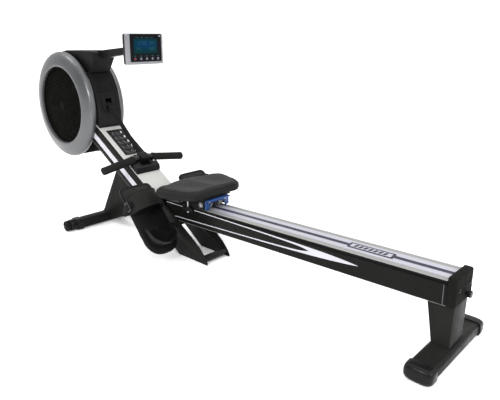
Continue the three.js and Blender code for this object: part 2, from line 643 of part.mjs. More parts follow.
// ---------------------------------------------------------------- seat
function makeSeat() {
  const edge = [[SEAT.front, 30], [-1187, 64], [-1176, 108], [-1163, 150], [-1149, 175], [-1132, 186],
    [-1105, 187], [-1060, 178], [-1010, 160], [-980, 147], [-966, 130], [SEAT.rear, 105]];
  const pad = outline([...edge, ...edge.map(([s, y]) => [s, -y]).reverse()]);
  const { bottom, top } = SEAT;
  place('seat_pad', raise(pad, bottom, top, 6), LOOK.seat, railGroup);

  const legs = [];
  for (const [, side] of SIDES) {
    const { front, plate: high } = CARRIAGE;
    const skirt = outline([[front, high + 1], [front + 5, 6], [front + 12, 2], [-998, 2], [-991, 6],
      [-989, high + 1]]);
    legs.push(slab(skirt, side * CARRIAGE.leg, side * CARRIAGE.legOuter));
  }
  const { half: reach, plate: under, top: over } = CARRIAGE;
  const plate = block(CARRIAGE.front, CARRIAGE.rear, -reach, reach, under, over);
  const axleN = ROLLER.radius + GAP;
  const holes = [ROLLER.front, ROLLER.rear].map((s) => across(ROLLER.axle + GAP, s, axleN, -80, 80, 16));
  const boltHoles = SIDES.map(([, side]) => join(
    upright(4.4, -1083, side * 70, 30, 60),
    upright(8.4, -1083, side * 70, 36, under, 16),
  ));
  place('seat_carriage', cut(join(plate, ...legs), ...holes, ...boltHoles), LOOK.frame, railGroup);

  const { radius, inner, outer, axle } = ROLLER;
  const half = [[0, 71], [axle, 71], [axle, outer], [radius - 1.5, outer], [radius, outer - 1.5],
    [radius, inner], [axle, inner]];
  const wheelset = [...half, ...half.slice().reverse().map(([r, y]) => [r, -y])];
  place('seat_wheelset_front', turned(wheelset, ROLLER.front, axleN, 18), LOOK.nylon, railGroup);
  place('seat_wheelset_rear', turned(wheelset, ROLLER.rear, axleN, 18), LOOK.nylon, railGroup);

  for (const [name, side] of SIDES) {
    const section = [[55, -10.6], [60, -12], [60, -17], [77, -17], [77, -1], [60, -1], [60, -5], [55, -6.4]];
    place(`seat_guide_${name}`, join(
      run(outline(section.map(([y, n]) => [side * y, n])), -1110, -1056),
      upright(4, -1083, side * 70, -24, 47.2),
      upright(6.8, -1083, side * 70, -24, -16.5, 6),
      upright(6.8, -1083, side * 70, 37.5, 43.4, 6),
    ), LOOK.plastic, railGroup);
  }

  const portal = cut(
    run(roundedOutline(-66, 66, 3, 43.5, 5), -984.7, -981.2),
    run(outline([[-44, 0], [44, 0], [44, 12], [30, 27], [-30, 27], [-44, 12]]), -990, -975),
  );
  const lip = block(-984.7, -964, -60, 60, 40, 43.5);
  place('seat_rear_bracket', join(portal, lip), LOOK.blue, railGroup);
}

makeFrame();
makeFrontLeg();
makeDrum();
makeFairings();
makeConsole();
makeHandle();
makePullStrap();
makePedals();
makeRail();
makeRearLeg();
makeSeat();

export default machine;
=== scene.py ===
import json
import math

import bmesh
import bpy
from mathutils import Matrix, Vector


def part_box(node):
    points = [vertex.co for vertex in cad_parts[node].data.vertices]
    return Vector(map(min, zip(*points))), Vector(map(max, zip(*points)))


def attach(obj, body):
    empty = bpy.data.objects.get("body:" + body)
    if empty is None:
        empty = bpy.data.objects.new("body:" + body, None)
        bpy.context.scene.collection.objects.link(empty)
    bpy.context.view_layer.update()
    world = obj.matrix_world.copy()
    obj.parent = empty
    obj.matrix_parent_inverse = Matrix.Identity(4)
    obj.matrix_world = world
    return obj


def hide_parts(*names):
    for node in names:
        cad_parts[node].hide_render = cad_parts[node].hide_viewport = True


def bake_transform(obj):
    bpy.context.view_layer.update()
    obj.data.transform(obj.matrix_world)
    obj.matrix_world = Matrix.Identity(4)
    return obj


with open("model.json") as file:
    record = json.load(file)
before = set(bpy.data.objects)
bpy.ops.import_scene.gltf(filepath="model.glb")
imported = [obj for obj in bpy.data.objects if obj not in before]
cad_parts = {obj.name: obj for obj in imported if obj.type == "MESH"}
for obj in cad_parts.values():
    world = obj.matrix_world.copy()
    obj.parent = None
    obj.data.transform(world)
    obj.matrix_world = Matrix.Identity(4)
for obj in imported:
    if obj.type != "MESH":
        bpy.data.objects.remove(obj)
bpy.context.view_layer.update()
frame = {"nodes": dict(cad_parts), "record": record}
scene = bpy.context.scene


# ---------------------------------------------------------------- places
def placed(x, y, z, turn=0.0, axis="Y"):
    return Matrix.Translation((x, y, z)) @ Matrix.Rotation(turn, 4, axis)


DATUM = 1.0931  # the middle of the rear leg
BEAM = placed(DATUM - 1.700, 0, 0.469, math.radians(31.75))
RAIL = placed(DATUM, 0, 0.2636, -0.02779)
DRUM_X, DRUM_Z = DATUM - 1.9785, 0.566
GUIDE_X, GUIDE_Z = DATUM - 1.726, 0.5835
SIDES = (("left", -1), ("right", 1))
ALONG_X, ALONG_Y, ALONG_Z = Vector((1, 0, 0)), Vector((0, 1, 0)), Vector((0, 0, 1))
PRINTED = (0.0004, 0.0006)  # a print on the instruction panel: its bottom and its top


def pedal_place(side):
    return placed(DATUM - 1.325, side * 0.1605, 0.295, math.radians(48.93))


# ---------------------------------------------------------------- materials
LOOKS = {}


class Shader:
    """A Principled material whose colour, roughness and bump come from procedural textures."""

    def __init__(self, name, roughness, metallic=0.0, specular=0.5, coat=0.0, sheen=0.0):
        LOOKS[name] = self.material = bpy.data.materials.new(name)
        self.material.use_nodes = True
        self.tree = self.material.node_tree
        self.surface = self.tree.nodes["Principled BSDF"]
        for socket, value in (("Roughness", roughness), ("Metallic", metallic), ("Specular IOR Level", specular),
                              ("Coat Weight", coat), ("Coat Roughness", 0.1), ("Sheen Weight", sheen)):
            self.set(socket, value)
        self.height = None

    def set(self, socket, value):
        self.surface.inputs[socket].default_value = value

    def node(self, kind, inputs=None, **settings):
        made = self.tree.nodes.new(kind)
        for key, value in settings.items():
            setattr(made, key, value)
        for socket, value in (inputs or {}).items():
            if isinstance(value, bpy.types.NodeSocket):
                self.tree.links.new(value, made.inputs[socket])
            else:
                made.inputs[socket].default_value = value
        return made

    def link(self, output, socket):
        self.tree.links.new(output, self.surface.inputs[socket])

    def coordinates(self, stretch=(1, 1, 1), source="Object"):
        place = self.node("ShaderNodeTexCoord").outputs[source]
        return self.node("ShaderNodeMapping", {"Scale": stretch, "Vector": place}).outputs["Vector"]

    def noise(self, scale, detail=3.0, stretch=(1, 1, 1)):
        return self.node("ShaderNodeTexNoise", {"Scale": scale, "Detail": detail,
                                                "Vector": self.coordinates(stretch)}).outputs["Fac"]

    def cells(self, scale, feature="F1"):
        return self.node("ShaderNodeTexVoronoi", {"Scale": scale, "Vector": self.coordinates()},
                         feature=feature).outputs["Distance"]

    def bands(self, scale, direction):
        return self.node("ShaderNodeTexWave", {"Scale": scale, "Vector": self.coordinates(source="UV")},
                         bands_direction=direction).outputs["Fac"]

    def spread(self, value, low, high, start=0.3, end=0.7):
        return self.node("ShaderNodeMapRange", {"From Min": start, "From Max": end, "To Min": low, "To Max": high,
                                                "Value": value}).outputs["Result"]

    def mix(self, factor, first, second):
        """Sets the base colour to a mix, where the first may be an earlier mix."""
        self.base = self.node("ShaderNodeMix", {6: first, 7: (*second, 1), "Factor": factor},
                              data_type="RGBA").outputs[2]
        self.link(self.base, "Base Color")

    def colour(self, factor, dark, light):
        self.mix(factor, (*dark, 1), light)

    def edge_wear_and_highlight(self, light):
        """Mixes a lighter colour in along exposed edges: partly edge wear, partly a painted highlight."""
        edge = self.node("ShaderNodeNewGeometry").outputs["Pointiness"]
        self.mix(self.spread(edge, 0, 0.6, 0.52, 0.6), self.base, light)

    def rough(self, factor, low, high):
        self.link(self.spread(factor, low, high), "Roughness")

    def bump(self, value, strength, distance=0.0002):
        under = {"Normal": self.height} if self.height else {}
        self.height = self.node("ShaderNodeBump", {"Strength": strength, "Distance": distance, "Height": value,
                                                   **under}).outputs["Normal"]
        self.link(self.height, "Normal")


def tinted(colour, factor):
    return tuple(min(1.0, channel * factor) for channel in colour)


def coated(name, colour, roughness, grain, grain_scale, vary=0.12, edge_wear_and_highlight=None, **surface):
    """Paint or moulded plastic: slight blotches, uneven gloss and a fine grain."""
    look = Shader(name, roughness, **surface)
    look.colour(look.spread(look.noise(9), 0, 1), tinted(colour, 1 - vary), tinted(colour, 1 + vary))
    look.rough(look.noise(35, 4), roughness * 0.82, roughness * 1.2)
    look.bump(look.noise(grain_scale, 2), grain)
    # Lighter edges when an edge colour is given: partly wear, partly a painted highlight.
    if edge_wear_and_highlight:
        look.edge_wear_and_highlight(edge_wear_and_highlight)


def brushed(name, colour, roughness, stretch, strength, metallic=1.0):
    """Metal with fine lines along one direction."""
    look = Shader(name, roughness, metallic)
    lines = look.noise(420, 5, stretch)
    look.colour(look.spread(lines, 0, 1), tinted(colour, 0.9), tinted(colour, 1.07))
    look.rough(lines, roughness * 0.75, roughness * 1.3)
    look.bump(lines, strength, 0.0001)


def flaked(name, colour, roughness, **surface):
    """Silver paint with tiny flakes under a clear coat."""
    look = Shader(name, roughness, **surface)
    look.colour(look.spread(look.cells(1400), 0, 1, 0.1, 0.6), tinted(colour, 1.1), tinted(colour, 0.88))
    look.rough(look.noise(12, 4), roughness * 0.85, roughness * 1.2)
    look.bump(look.noise(260, 2), 0.06)


def cellular(name, colour, roughness, scale, strength, specular):
    """A skin or foam: packed cells over soft blotches."""
    look = Shader(name, roughness, specular=specular)
    grain = look.cells(scale, "SMOOTH_F1")
    look.colour(look.spread(look.noise(14, 4), 0, 1), tinted(colour, 0.82), tinted(colour, 1.18))
    look.rough(grain, roughness * 0.85, min(1.0, roughness * 1.15))
    look.bump(grain, strength, 0.0004)
    look.bump(look.noise(scale * 1.7, 3), strength * 0.4)


def woven(name, colour, roughness, pitch, specular):
    """Webbing whose threads follow the strip's own length and width."""
    look = Shader(name, roughness, specular=specular, sheen=0.04)
    threads = look.node("ShaderNodeMath", {0: look.bands(1 / pitch, "X"), 1: look.bands(1 / pitch, "Y")},
                        operation="MULTIPLY").outputs["Value"]
    look.colour(threads, tinted(colour, 0.55), tinted(colour, 1.5))
    look.bump(threads, 0.8, 0.0005)


def backlit(name, roughness, specular):
    """A display that glows: blue in the middle, teal towards its edges."""
    look = Shader(name, roughness, specular=specular)
    corner = look.node("ShaderNodeTexCoord").outputs["Generated"]
    centred = look.node("ShaderNodeMapping", {"Location": (0, -0.5, -0.6), "Vector": corner}).outputs["Vector"]
    flat = look.node("ShaderNodeVectorMath", {1: (0, 1.0, 1.6), 0: centred}, operation="MULTIPLY").outputs["Vector"]
    distance = look.node("ShaderNodeVectorMath", {0: flat}, operation="LENGTH").outputs["Value"]
    look.colour(look.spread(distance, 0, 1, 0.15, 0.72), (0.0, 0.018, 0.052), (0.0, 0.016, 0.019))
    look.link(look.base, "Emission Color")
    look.set("Emission Strength", 0.4)
    look.bump(look.noise(900, 1), 0.02)


# The last colour on some lines below is a lighter edge colour: partly wear, partly a painted highlight.
coated("frame_paint", (0.0075, 0.0075, 0.0070), 0.40, 0.10, 700, specular=0.07, edge_wear_and_highlight=(0.018, 0.018, 0.017))
coated("beam_cover", (0.43, 0.43, 0.415), 0.42, 0.06, 600, vary=0.03, specular=0.15)
coated("black_plastic", (0.0062, 0.0063, 0.0066), 0.42, 0.22, 1100, specular=0.08, edge_wear_and_highlight=(0.018, 0.018, 0.019))
coated("strap_rubber", (0.0120, 0.0120, 0.0112), 0.60, 0.3, 800, specular=0.08)
coated("gloss_black", (0.0055, 0.0055, 0.0055), 0.27, 0.03, 300, specular=0.12, edge_wear_and_highlight=(0.03, 0.03, 0.03))
flaked("ring_silver", (0.112, 0.114, 0.118), 0.34, metallic=0.55, coat=0.10)
coated("grille_mesh", (0.0030, 0.0028, 0.0022), 0.55, 0.1, 900, specular=0.03)
brushed("rail_aluminium", (0.25, 0.25, 0.245), 0.42, (0.02, 1, 1), 0.12, 0.35)
brushed("track_steel", (0.38, 0.38, 0.43), 0.40, (0.015, 1, 1), 0.06, 0.25)
brushed("zinc_steel", (0.36, 0.36, 0.37), 0.34, (1, 0.1, 1), 0.1)
coated("dark_steel", (0.03, 0.03, 0.032), 0.35, 0.05, 500, metallic=0.6)
coated("handle_tube", (0.012, 0.012, 0.012), 0.32, 0.05, 500, metallic=0.4)
cellular("foam_grip", (0.013, 0.013, 0.0125), 0.85, 620, 0.55, 0.06)
cellular("seat_skin", (0.0105, 0.0108, 0.0102), 0.50, 420, 0.22, 0.08)
coated("blue_bracket", (0.009, 0.036, 0.135), 0.34, 0.06, 500, specular=0.3, edge_wear_and_highlight=(0.05, 0.12, 0.35))
coated("black_rubber", (0.0060, 0.0060, 0.0058), 0.60, 0.3, 800, specular=0.08)
woven("webbing", (0.0065, 0.0065, 0.0070), 0.8, 0.0022, 0.06)
brushed("cast_wheel", (0.09, 0.09, 0.095), 0.5, (1, 1, 1), 0.3)
coated("nylon", (0.22, 0.22, 0.21), 0.4, 0.05, 400, vary=0.05)
brushed("spring_steel", (0.2, 0.2, 0.22), 0.35, (1, 0.1, 1), 0.15)
flaked("console_silver", (0.25, 0.255, 0.27), 0.3, metallic=0.5, coat=0.15)
coated("console_window", (0.0022, 0.0026, 0.0040), 0.12, 0.02, 200, specular=0.08)
coated("button_grey", (0.12, 0.115, 0.15), 0.35, 0.04, 300, vary=0.05, specular=0.2)
coated("button_red", (0.13, 0.025, 0.035), 0.35, 0.04, 300, vary=0.08, specular=0.2)
coated("print_white", (0.50, 0.50, 0.545), 0.34, 0.04, 400, vary=0.03, specular=0.2)
# Black print, also used as painted shade on the rail's top under the seat.
coated("black_print_and_shade", (0.0060, 0.0060, 0.0055), 0.3, 0.04, 400, specular=0.07)
coated("print_grey", (0.10, 0.10, 0.105), 0.4, 0.04, 400, specular=0.2)
coated("print_navy", (0.018, 0.019, 0.038), 0.4, 0.04, 400, specular=0.15)
coated("print_teal", (0.008, 0.10, 0.105), 0.3, 0.02, 400, specular=0.2)
coated("print_display", (0.004, 0.055, 0.070), 0.3, 0.02, 400, specular=0.2)
coated("toe_grey", (0.013, 0.013, 0.0122), 0.5, 0.3, 900, specular=0.12)
coated("cap_matte", (0.0105, 0.0105, 0.0100), 0.65, 0.2, 900, specular=0.012)
# A flat black with hardly any reflection: painted shade for the drum's inside and underside.
coated("painted_shade_black", (0.0015, 0.0015, 0.0012), 0.8, 0.1, 400, specular=0.02)
backlit("display", 0.18, 0.05)


# ---------------------------------------------------------------- outlines
def bend(a, b, c, steps):
    """A curve from a to c that is drawn towards b."""
    a, b, c = Vector(a), Vector(b), Vector(c)
    return [tuple(a * (1 - t) ** 2 + b * 2 * t * (1 - t) + c * t ** 2) for t in [i / steps for i in range(steps + 1)]]


def fillet(points, radius, steps=4):
    """A closed outline with its corners rounded."""
    rounded = []
    for before, corner, after in zip(points[-1:] + points[:-1], points, points[1:] + points[:1]):
        corner = Vector(corner)
        back, ahead = Vector(before) - corner, Vector(after) - corner
        reach = min(radius, back.length * 0.49, ahead.length * 0.49)
        rounded += bend(corner + back.normalized() * reach, corner, corner + ahead.normalized() * reach, steps)
    return rounded


def rectangle(u0, u1, v0, v1, radius=0.0, steps=5):
    corners = [(u0, v0), (u1, v0), (u1, v1), (u0, v1)]
    return fillet(corners, radius, steps) if radius else corners


def arc(u, v, radius, start, end, steps):
    turn = [math.radians(start + (end - start) * i / steps) for i in range(steps + 1)]
    return [(u + radius * math.cos(a), v + radius * math.sin(a)) for a in turn]


def circle(u, v, radius, steps=32):
    return arc(u, v, radius, 0, 360 * (1 - 1 / steps), steps - 1)


def mirrored(half):
    """A lathe profile from half of it, the half at positive y."""
    return half + [(r, -y) for r, y in half[::-1]]


# ---------------------------------------------------------------- solids
def soften(bm, width, segments=2, angle=30):
    """Rounds every edge sharper than the angle."""
    sharp = [e for e in bm.edges if len(e.link_faces) == 2 and e.calc_face_angle(0) > math.radians(angle)]
    if width and sharp:
        bmesh.ops.bevel(bm, geom=sharp, offset=width, segments=segments, profile=0.5, affect="EDGES",
                        clamp_overlap=True)
    return bm


def skin(bm, rings):
    """Joins rings of equal length in order and caps both ends."""
    for first, second in zip(rings, rings[1:]):
        for i in range(len(first)):
            bm.faces.new((first[i - 1], first[i], second[i], second[i - 1]))
    bm.faces.new(rings[0][::-1])
    bm.faces.new(rings[-1])
    bmesh.ops.recalc_face_normals(bm, faces=bm.faces)
    return bm


def loft(sections):
    bm = bmesh.new()
    return skin(bm, [[bm.verts.new(p) for p in ring] for ring in sections])


def prism(points, start, end, axis="Y", bevel=0.0):
    """A closed outline swept along an axis: (u, v) is X-Z for Y, Y-Z for X and X-Y for Z."""
    put = {"X": lambda u, v, t: (t, u, v), "Y": lambda u, v, t: (u, t, v), "Z": lambda u, v, t: (u, v, t)}[axis]
    return soften(loft([[put(u, v, t) for u, v in points] for t in (start, end)]), bevel)


def lathe(profile, x=0.0, z=0.0, segments=96, side=1):
    """A closed (radius, y) profile turned about an axis across the machine, on the given side of it."""
    bm = bmesh.new()
    rings = []
    for r, y in profile:
        turn = [2 * math.pi * i / segments for i in range(segments if r > 1e-7 else 1)]
        rings.append([bm.verts.new((x + r * math.cos(a), side * y, z + r * math.sin(a))) for a in turn])
    for first, second in zip(rings, rings[1:] + rings[:1]):
        for i in range(segments):
            j = (i + 1) % segments
            corners = [first[i % len(first)], first[j % len(first)], second[j % len(second)],
                       second[i % len(second)]]
            unique = list(dict.fromkeys(corners))
            if len(unique) > 2:
                bm.faces.new(unique)
    bmesh.ops.recalc_face_normals(bm, faces=bm.faces)
    return bm


def sweep(path, section, side=ALONG_Y):
    """A closed section carried along a path: its first value lies along `side`, its second across it."""
    bm = bmesh.new()
    layer = bm.loops.layers.uv.new("UVMap")
    where, rings, travelled = {}, [], 0.0
    path = [Vector(p) for p in path]
    for i, point in enumerate(path):
        ahead, behind = path[min(i + 1, len(path) - 1)], path[max(i - 1, 0)]
        tangent = (ahead - behind).normalized()
        wide = (side - tangent * side.dot(tangent)).normalized()
        thick = tangent.cross(wide)
        travelled += (point - behind).length
        rings.append([bm.verts.new(point + wide * a + thick * b) for a, b in section])
        where.update({vertex: (travelled, a) for vertex, (a, b) in zip(rings[-1], section)})
    skin(bm, rings)
    for face in bm.faces:
        for loop in face.loops:
            loop[layer].uv = where[loop.vert]
    return bm


def tube(path, radius, sides=24, dome=0.0):
    """A round bar along a path, with domed ends if dome is set."""
    path = [Vector(p) for p in path]
    if not dome:
        return sweep(path, circle(0, 0, radius, sides))
    start, end = (path[0] - path[1]).normalized(), (path[-1] - path[-2]).normalized()
    caps = [(dome * math.sin(i / 6 * math.pi / 2), radius * math.cos(i / 6 * math.pi / 2)) for i in range(1, 6)]
    stations = [(path[0] + start * d, r) for d, r in caps[::-1]] + [(p, radius) for p in path]
    stations += [(path[-1] + end * d, r) for d, r in caps]
    rings = []
    for i, (point, r) in enumerate(stations):
        ahead, behind = stations[min(i + 1, len(stations) - 1)][0], stations[max(i - 1, 0)][0]
        tangent = (ahead - behind).normalized()
        wide = tangent.orthogonal().normalized() if abs(tangent.y) < 0.5 else ALONG_X
        wide = (wide - tangent * wide.dot(tangent)).normalized()
        thick = tangent.cross(wide)
        rings.append([point + wide * u + thick * v for u, v in circle(0, 0, r, sides)])
    return loft(rings)


def merged(*parts):
    """Several bmeshes in one, each given alone or with a matrix."""
    whole = bmesh.new()
    for part in parts:
        bm, place = part if isinstance(part, tuple) else (part, Matrix.Identity(4))
        bm.transform(place)
        mesh = bpy.data.meshes.new("part")
        bm.to_mesh(mesh)
        bm.free()
        whole.from_mesh(mesh)
        bpy.data.meshes.remove(mesh)
    return whole


def raw_object(name, bm):
    mesh = bpy.data.meshes.new(name)
    bm.to_mesh(mesh)
    bm.free()
    made = bpy.data.objects.new(name, mesh)
    scene.collection.objects.link(made)
    return made


def evaluated(thing):
    """The mesh of an object with its modifiers applied, as a bmesh."""
    bpy.context.view_layer.update()
    bm = bmesh.new()
    bm.from_mesh(thing.evaluated_get(bpy.context.evaluated_depsgraph_get()).data)
    return bm


def carved(bm, *cutters):
    """bm with the cutters' volumes taken away."""
    base = raw_object("base", bm)
    tools = [raw_object("tool", cutter) for cutter in cutters]
    for tool in tools:
        cut = base.modifiers.new("cut", "BOOLEAN")
        cut.operation, cut.object, cut.solver = "DIFFERENCE", tool, "EXACT"
    result = evaluated(base)
    for thing in (base, *tools):
        bpy.data.objects.remove(thing)
    bmesh.ops.remove_doubles(result, verts=result.verts, dist=1e-6)
    bmesh.ops.dissolve_limit(result, angle_limit=math.radians(0.5), verts=result.verts, edges=result.edges)
    return result


def cad_mesh(node, cut=None, normal=ALONG_X):
    """A node's CAD mesh with its flat faces made whole, and an edge drawn round it where a plane cuts it."""
    bm = bmesh.new()
    bm.from_mesh(frame["nodes"][node].data)
    bmesh.ops.remove_doubles(bm, verts=bm.verts, dist=4e-6)
    bmesh.ops.dissolve_limit(bm, angle_limit=math.radians(1), verts=bm.verts, edges=bm.edges)
    if cut is not None:
        bmesh.ops.bisect_plane(bm, geom=bm.verts[:] + bm.edges[:] + bm.faces[:], dist=1e-6, plane_co=cut,
                               plane_no=normal)
    return bm


# ---------------------------------------------------------------- pieces
NODE_BODY = {n: body for body, nodes in frame["record"]["behaviour"]["bodies"].items() for n in nodes}
NODE_SLOT = {s["node"]: s["material_slot"] for s in frame["record"]["subparts"]}


def piece(name, bm, look, body, nodes=(), place=None, sharp=35):
    """Turns a bmesh into a finished piece that rides on a body and may stand for CAD nodes."""
    if place is not None:
        bm.transform(place)
    made = raw_object(name, bm)
    for polygon in made.data.polygons:
        polygon.use_smooth = True
    made.data.set_sharp_from_angle(angle=math.radians(sharp))
    made.data.materials.append(LOOKS[look])
    if body:
        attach(made, body)
    if nodes:
        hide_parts(*nodes)
    return made


def on_beam(name, bm, look, body="frame"):
    piece(name, bm, look, body, place=BEAM)


def on_rail(name, bm, look, body="rail", place=RAIL):
    piece(name, bm, look, body, place=place)


def stand_for(node, bm, look=None, place=None, sharp=35):
    """A piece that takes a CAD node's place on its body, with the node's own finish."""
    return piece("fine_" + node, bm, look or NODE_SLOT[node], NODE_BODY[node], (node,), place, sharp)


def refined(node, width, segments=2):
    """A CAD node's own shape with its edges rounded."""
    return stand_for(node, soften(cad_mesh(node), width, segments))


def paint_faces(made, look, rule):
    """Gives a second finish to the faces whose centre and normal pass the rule."""
    made.data.materials.append(LOOKS[look])
    index = len(made.data.materials) - 1
    for polygon in made.data.polygons:
        if rule(polygon.center, polygon.normal):
            polygon.material_index = index


def screw_head(radius, height, hexagon=True):
    """A bolt head on its washer: it stands on Z = 0 and rises along Z."""
    washer = prism(circle(0, 0, radius * 1.35, 32), 0, height * 0.22, "Z", bevel=radius * 0.06)
    outline = circle(0, 0, radius, 6 if hexagon else 28)
    head = prism(outline, height * 0.22, height, "Z", bevel=radius * 0.12)
    if not hexagon:
        head = carved(head, prism(circle(0, 0, radius * 0.5, 6), height * 0.5, height * 1.5, "Z"))
    return merged(washer, head)


def facing(x, y, z, direction):
    """A place at (x, y, z) whose Z axis points along the direction."""
    return Matrix.Translation((x, y, z)) @ Vector(direction).to_track_quat("Z", "Y").to_matrix().to_4x4()


def bolts(name, body, places, radius, height, look="zinc_steel", hexagon=True):
    piece(name, merged(*[(screw_head(radius, height, hexagon), place) for place in places]), look, body)


def screws(name, body, places, radius, height, look="gloss_black"):
    """Bolts with a round head and a hexagonal socket."""
    bolts(name, body, places, radius, height, look, hexagon=False)


# ---------------------------------------------------------------- frame
def make_frame():
    for node, width in (("side_plate_left", 0.0009), ("side_plate_right", 0.0009), ("beam_core", 0.002),
                        ("beam_top_cover", 0.0007), ("hinge_bolt", 0.0012), ("front_leg", 0.0016)):
        refined(node, width)
    rod = prism(circle(DATUM - 1.003, 0.019, 0.015, 48), -0.0616, 0.0616, bevel=0.001)
    stand_for("cross_rod", rod)

    stripe = [(-0.30, -0.0405), (0.392, -0.0405), (0.376, -0.0685), (-0.30, -0.0685)]
    piping = [(-0.30, -0.0908), (0.350, -0.0908), (0.349, -0.0925), (-0.30, -0.0925)]
    for name, side in SIDES:
        on_plate = (side * 0.06633, side * 0.0666)
        on_beam("beam_stripe_" + name, prism(fillet(stripe, 0.002), *on_plate), "print_white")
        on_beam("beam_piping_" + name, prism(piping, *on_plate), "print_grey")
    heads = [BEAM @ facing(s, side * 0.0663, -0.080, (0, side, 0)) for _, side in SIDES for s in (0.135, 0.245)]
    screws("beam_bolts", "frame", heads, 0.0055, 0.0045)


def rower_figure(s, y, lean):
    """A small pictogram on the beam's top: a head, a trunk, an arm and bent legs."""
    scale = 1.35

    def bar(a, b, width):
        a, b = Vector(a) * scale, Vector(b) * scale
        across = (b - a).orthogonal().normalized() * width * scale / 2
        corners = [a + across, b + across, b - across, a - across]
        return prism([(s - p.y, y + p.x) for p in corners], *PRINTED, "Z")

    hip, shoulder = (0, 0), (0.007 * math.sin(lean), 0.007 * math.cos(lean))
    knee, foot = (0.006, 0.0035), (0.0105, -0.0015)
    hand = (shoulder[0] + 0.007, shoulder[1] - 0.0015)
    head = (shoulder[0] * 1.45, shoulder[1] * 1.45)
    disc = prism([(s - (head[1] + v) * scale, y + (head[0] + u) * scale) for u, v in circle(0, 0, 0.0019, 14)],
                 *PRINTED, "Z")
    bars = [bar(hip, shoulder, 0.0024), bar(shoulder, hand, 0.0014), bar(hip, knee, 0.0019),
            bar(knee, foot, 0.0017), bar((-0.004, -0.0035), (0.0125, -0.0035), 0.0012)]
    return merged(disc, *bars)


def make_instruction_panel():
    panel = prism(rectangle(0.006, 0.186, -0.042, 0.0655, 0.004), 0.00005, 0.0003, "Z")
    on_beam("panel_sheet", panel, "black_print_and_shade")
    dim, bright = [], []
    for row in range(5):
        s = 0.030 + row * 0.033
        dim.append(rower_figure(s + 0.005, -0.024, 0.5 - 0.22 * row))
        dim.append(rower_figure(s + 0.005, 0.002, -0.3 + 0.2 * row))
        wedge = [(s + 0.005, 0.022), (s - 0.012, 0.030), (s - 0.003, 0.0345), (s + 0.006, 0.031)]
        bright.append(prism(wedge, *PRINTED, "Z"))
        dim.append(prism(rectangle(s + 0.0135, s + 0.0143, -0.034, 0.034), *PRINTED, "Z"))
    dim.append(prism(rectangle(0.008, 0.184, 0.0455, 0.0463), *PRINTED, "Z"))
    on_beam("panel_figures", merged(*dim), "print_grey")
    on_beam("panel_marks", merged(*bright), "print_white")


def rounded_square(half_x, z0, z1, power, y, x):
    """A ring between a square and a circle: power 2 is an ellipse, larger is squarer."""
    middle, half_z, ring = (z0 + z1) / 2, (z1 - z0) / 2, []
    for i in range(48):
        a = 2 * math.pi * (i + 0.5) / 48
        c, s = math.cos(a), math.sin(a)
        ring.append((x + half_x * math.copysign(abs(c) ** (2 / power), c), y,
                     middle + half_z * math.copysign(abs(s) ** (2 / power), s)))
    return ring


def foot_cap(x, side, stations):
    """A moulded cap over the end of a foot tube: (|y|, half width, bottom, top, squareness) stations."""
    return loft([rounded_square(w, z0, z1, power, side * y, x) for y, w, z0, z1, power in stations])


def make_front_foot():
    x, wheel_z = DATUM - 1.750, 0.027
    for name, side in SIDES:
        shell = foot_cap(x, side, [
            (0.1863, 0.0335, 0.0, 0.0535, 4.5), (0.1870, 0.034, 0.0, 0.054, 4.5), (0.200, 0.034, 0.0, 0.054, 4.2),
            (0.2125, 0.0335, 0.0, 0.054, 3.8), (0.2160, 0.0325, 0.0005, 0.0535, 3.4),
            (0.2180, 0.0285, 0.0007, 0.0535, 2.4), (0.233, 0.0275, 0.0, 0.054, 2.1),
            (0.2430, 0.0270, 0.0, 0.054, 2.0), (0.2450, 0.0255, 0.0015, 0.0525, 2.0),
            (0.2460, 0.0225, 0.0045, 0.0495, 2.0)])
        axle = lathe([(0, 0.235), (0.004, 0.235), (0.004, 0.2643), (0.008, 0.2643), (0.008, 0.2670),
                      (0.0065, 0.2680), (0, 0.2680)], x, wheel_z, 32, side)
        stand_for("front_foot_cap_" + name, merged(shell, axle))

        tread = [(0.0045, 0.0), (0.0095, 0.0), (0.0105, 0.0025), (0.0195, 0.0025), (0.0205, 0.0002),
                 (0.0232, 0.0), (0.0246, 0.0012), (0.025, 0.003), (0.025, 0.0055), (0.0243, 0.0060),
                 (0.0243, 0.0100), (0.025, 0.0105), (0.025, 0.013), (0.0246, 0.0148), (0.0232, 0.016),
                 (0.0205, 0.0158), (0.0195, 0.0138), (0.0105, 0.0138), (0.0095, 0.016), (0.0045, 0.016)]
        stand_for("wheel_" + name, lathe([(r, 0.248 + y) for r, y in tread], x, wheel_z, 72, side))

    welds = [sweep([(x + dx, side * 0.0425, 0.0503) for dx in (-0.022, -0.011, 0, 0.011, 0.022)],
                   circle(0, 0, 0.0022, 8)) for _, side in SIDES]
    piece("front_weld", merged(*welds), "frame_paint", "frame")


# ---------------------------------------------------------------- drum
def dish(r):
    """How far the mesh's outer face stands from the mid-plane."""
    return 0.1003 - 0.0063 * (r / 0.1852) ** 2


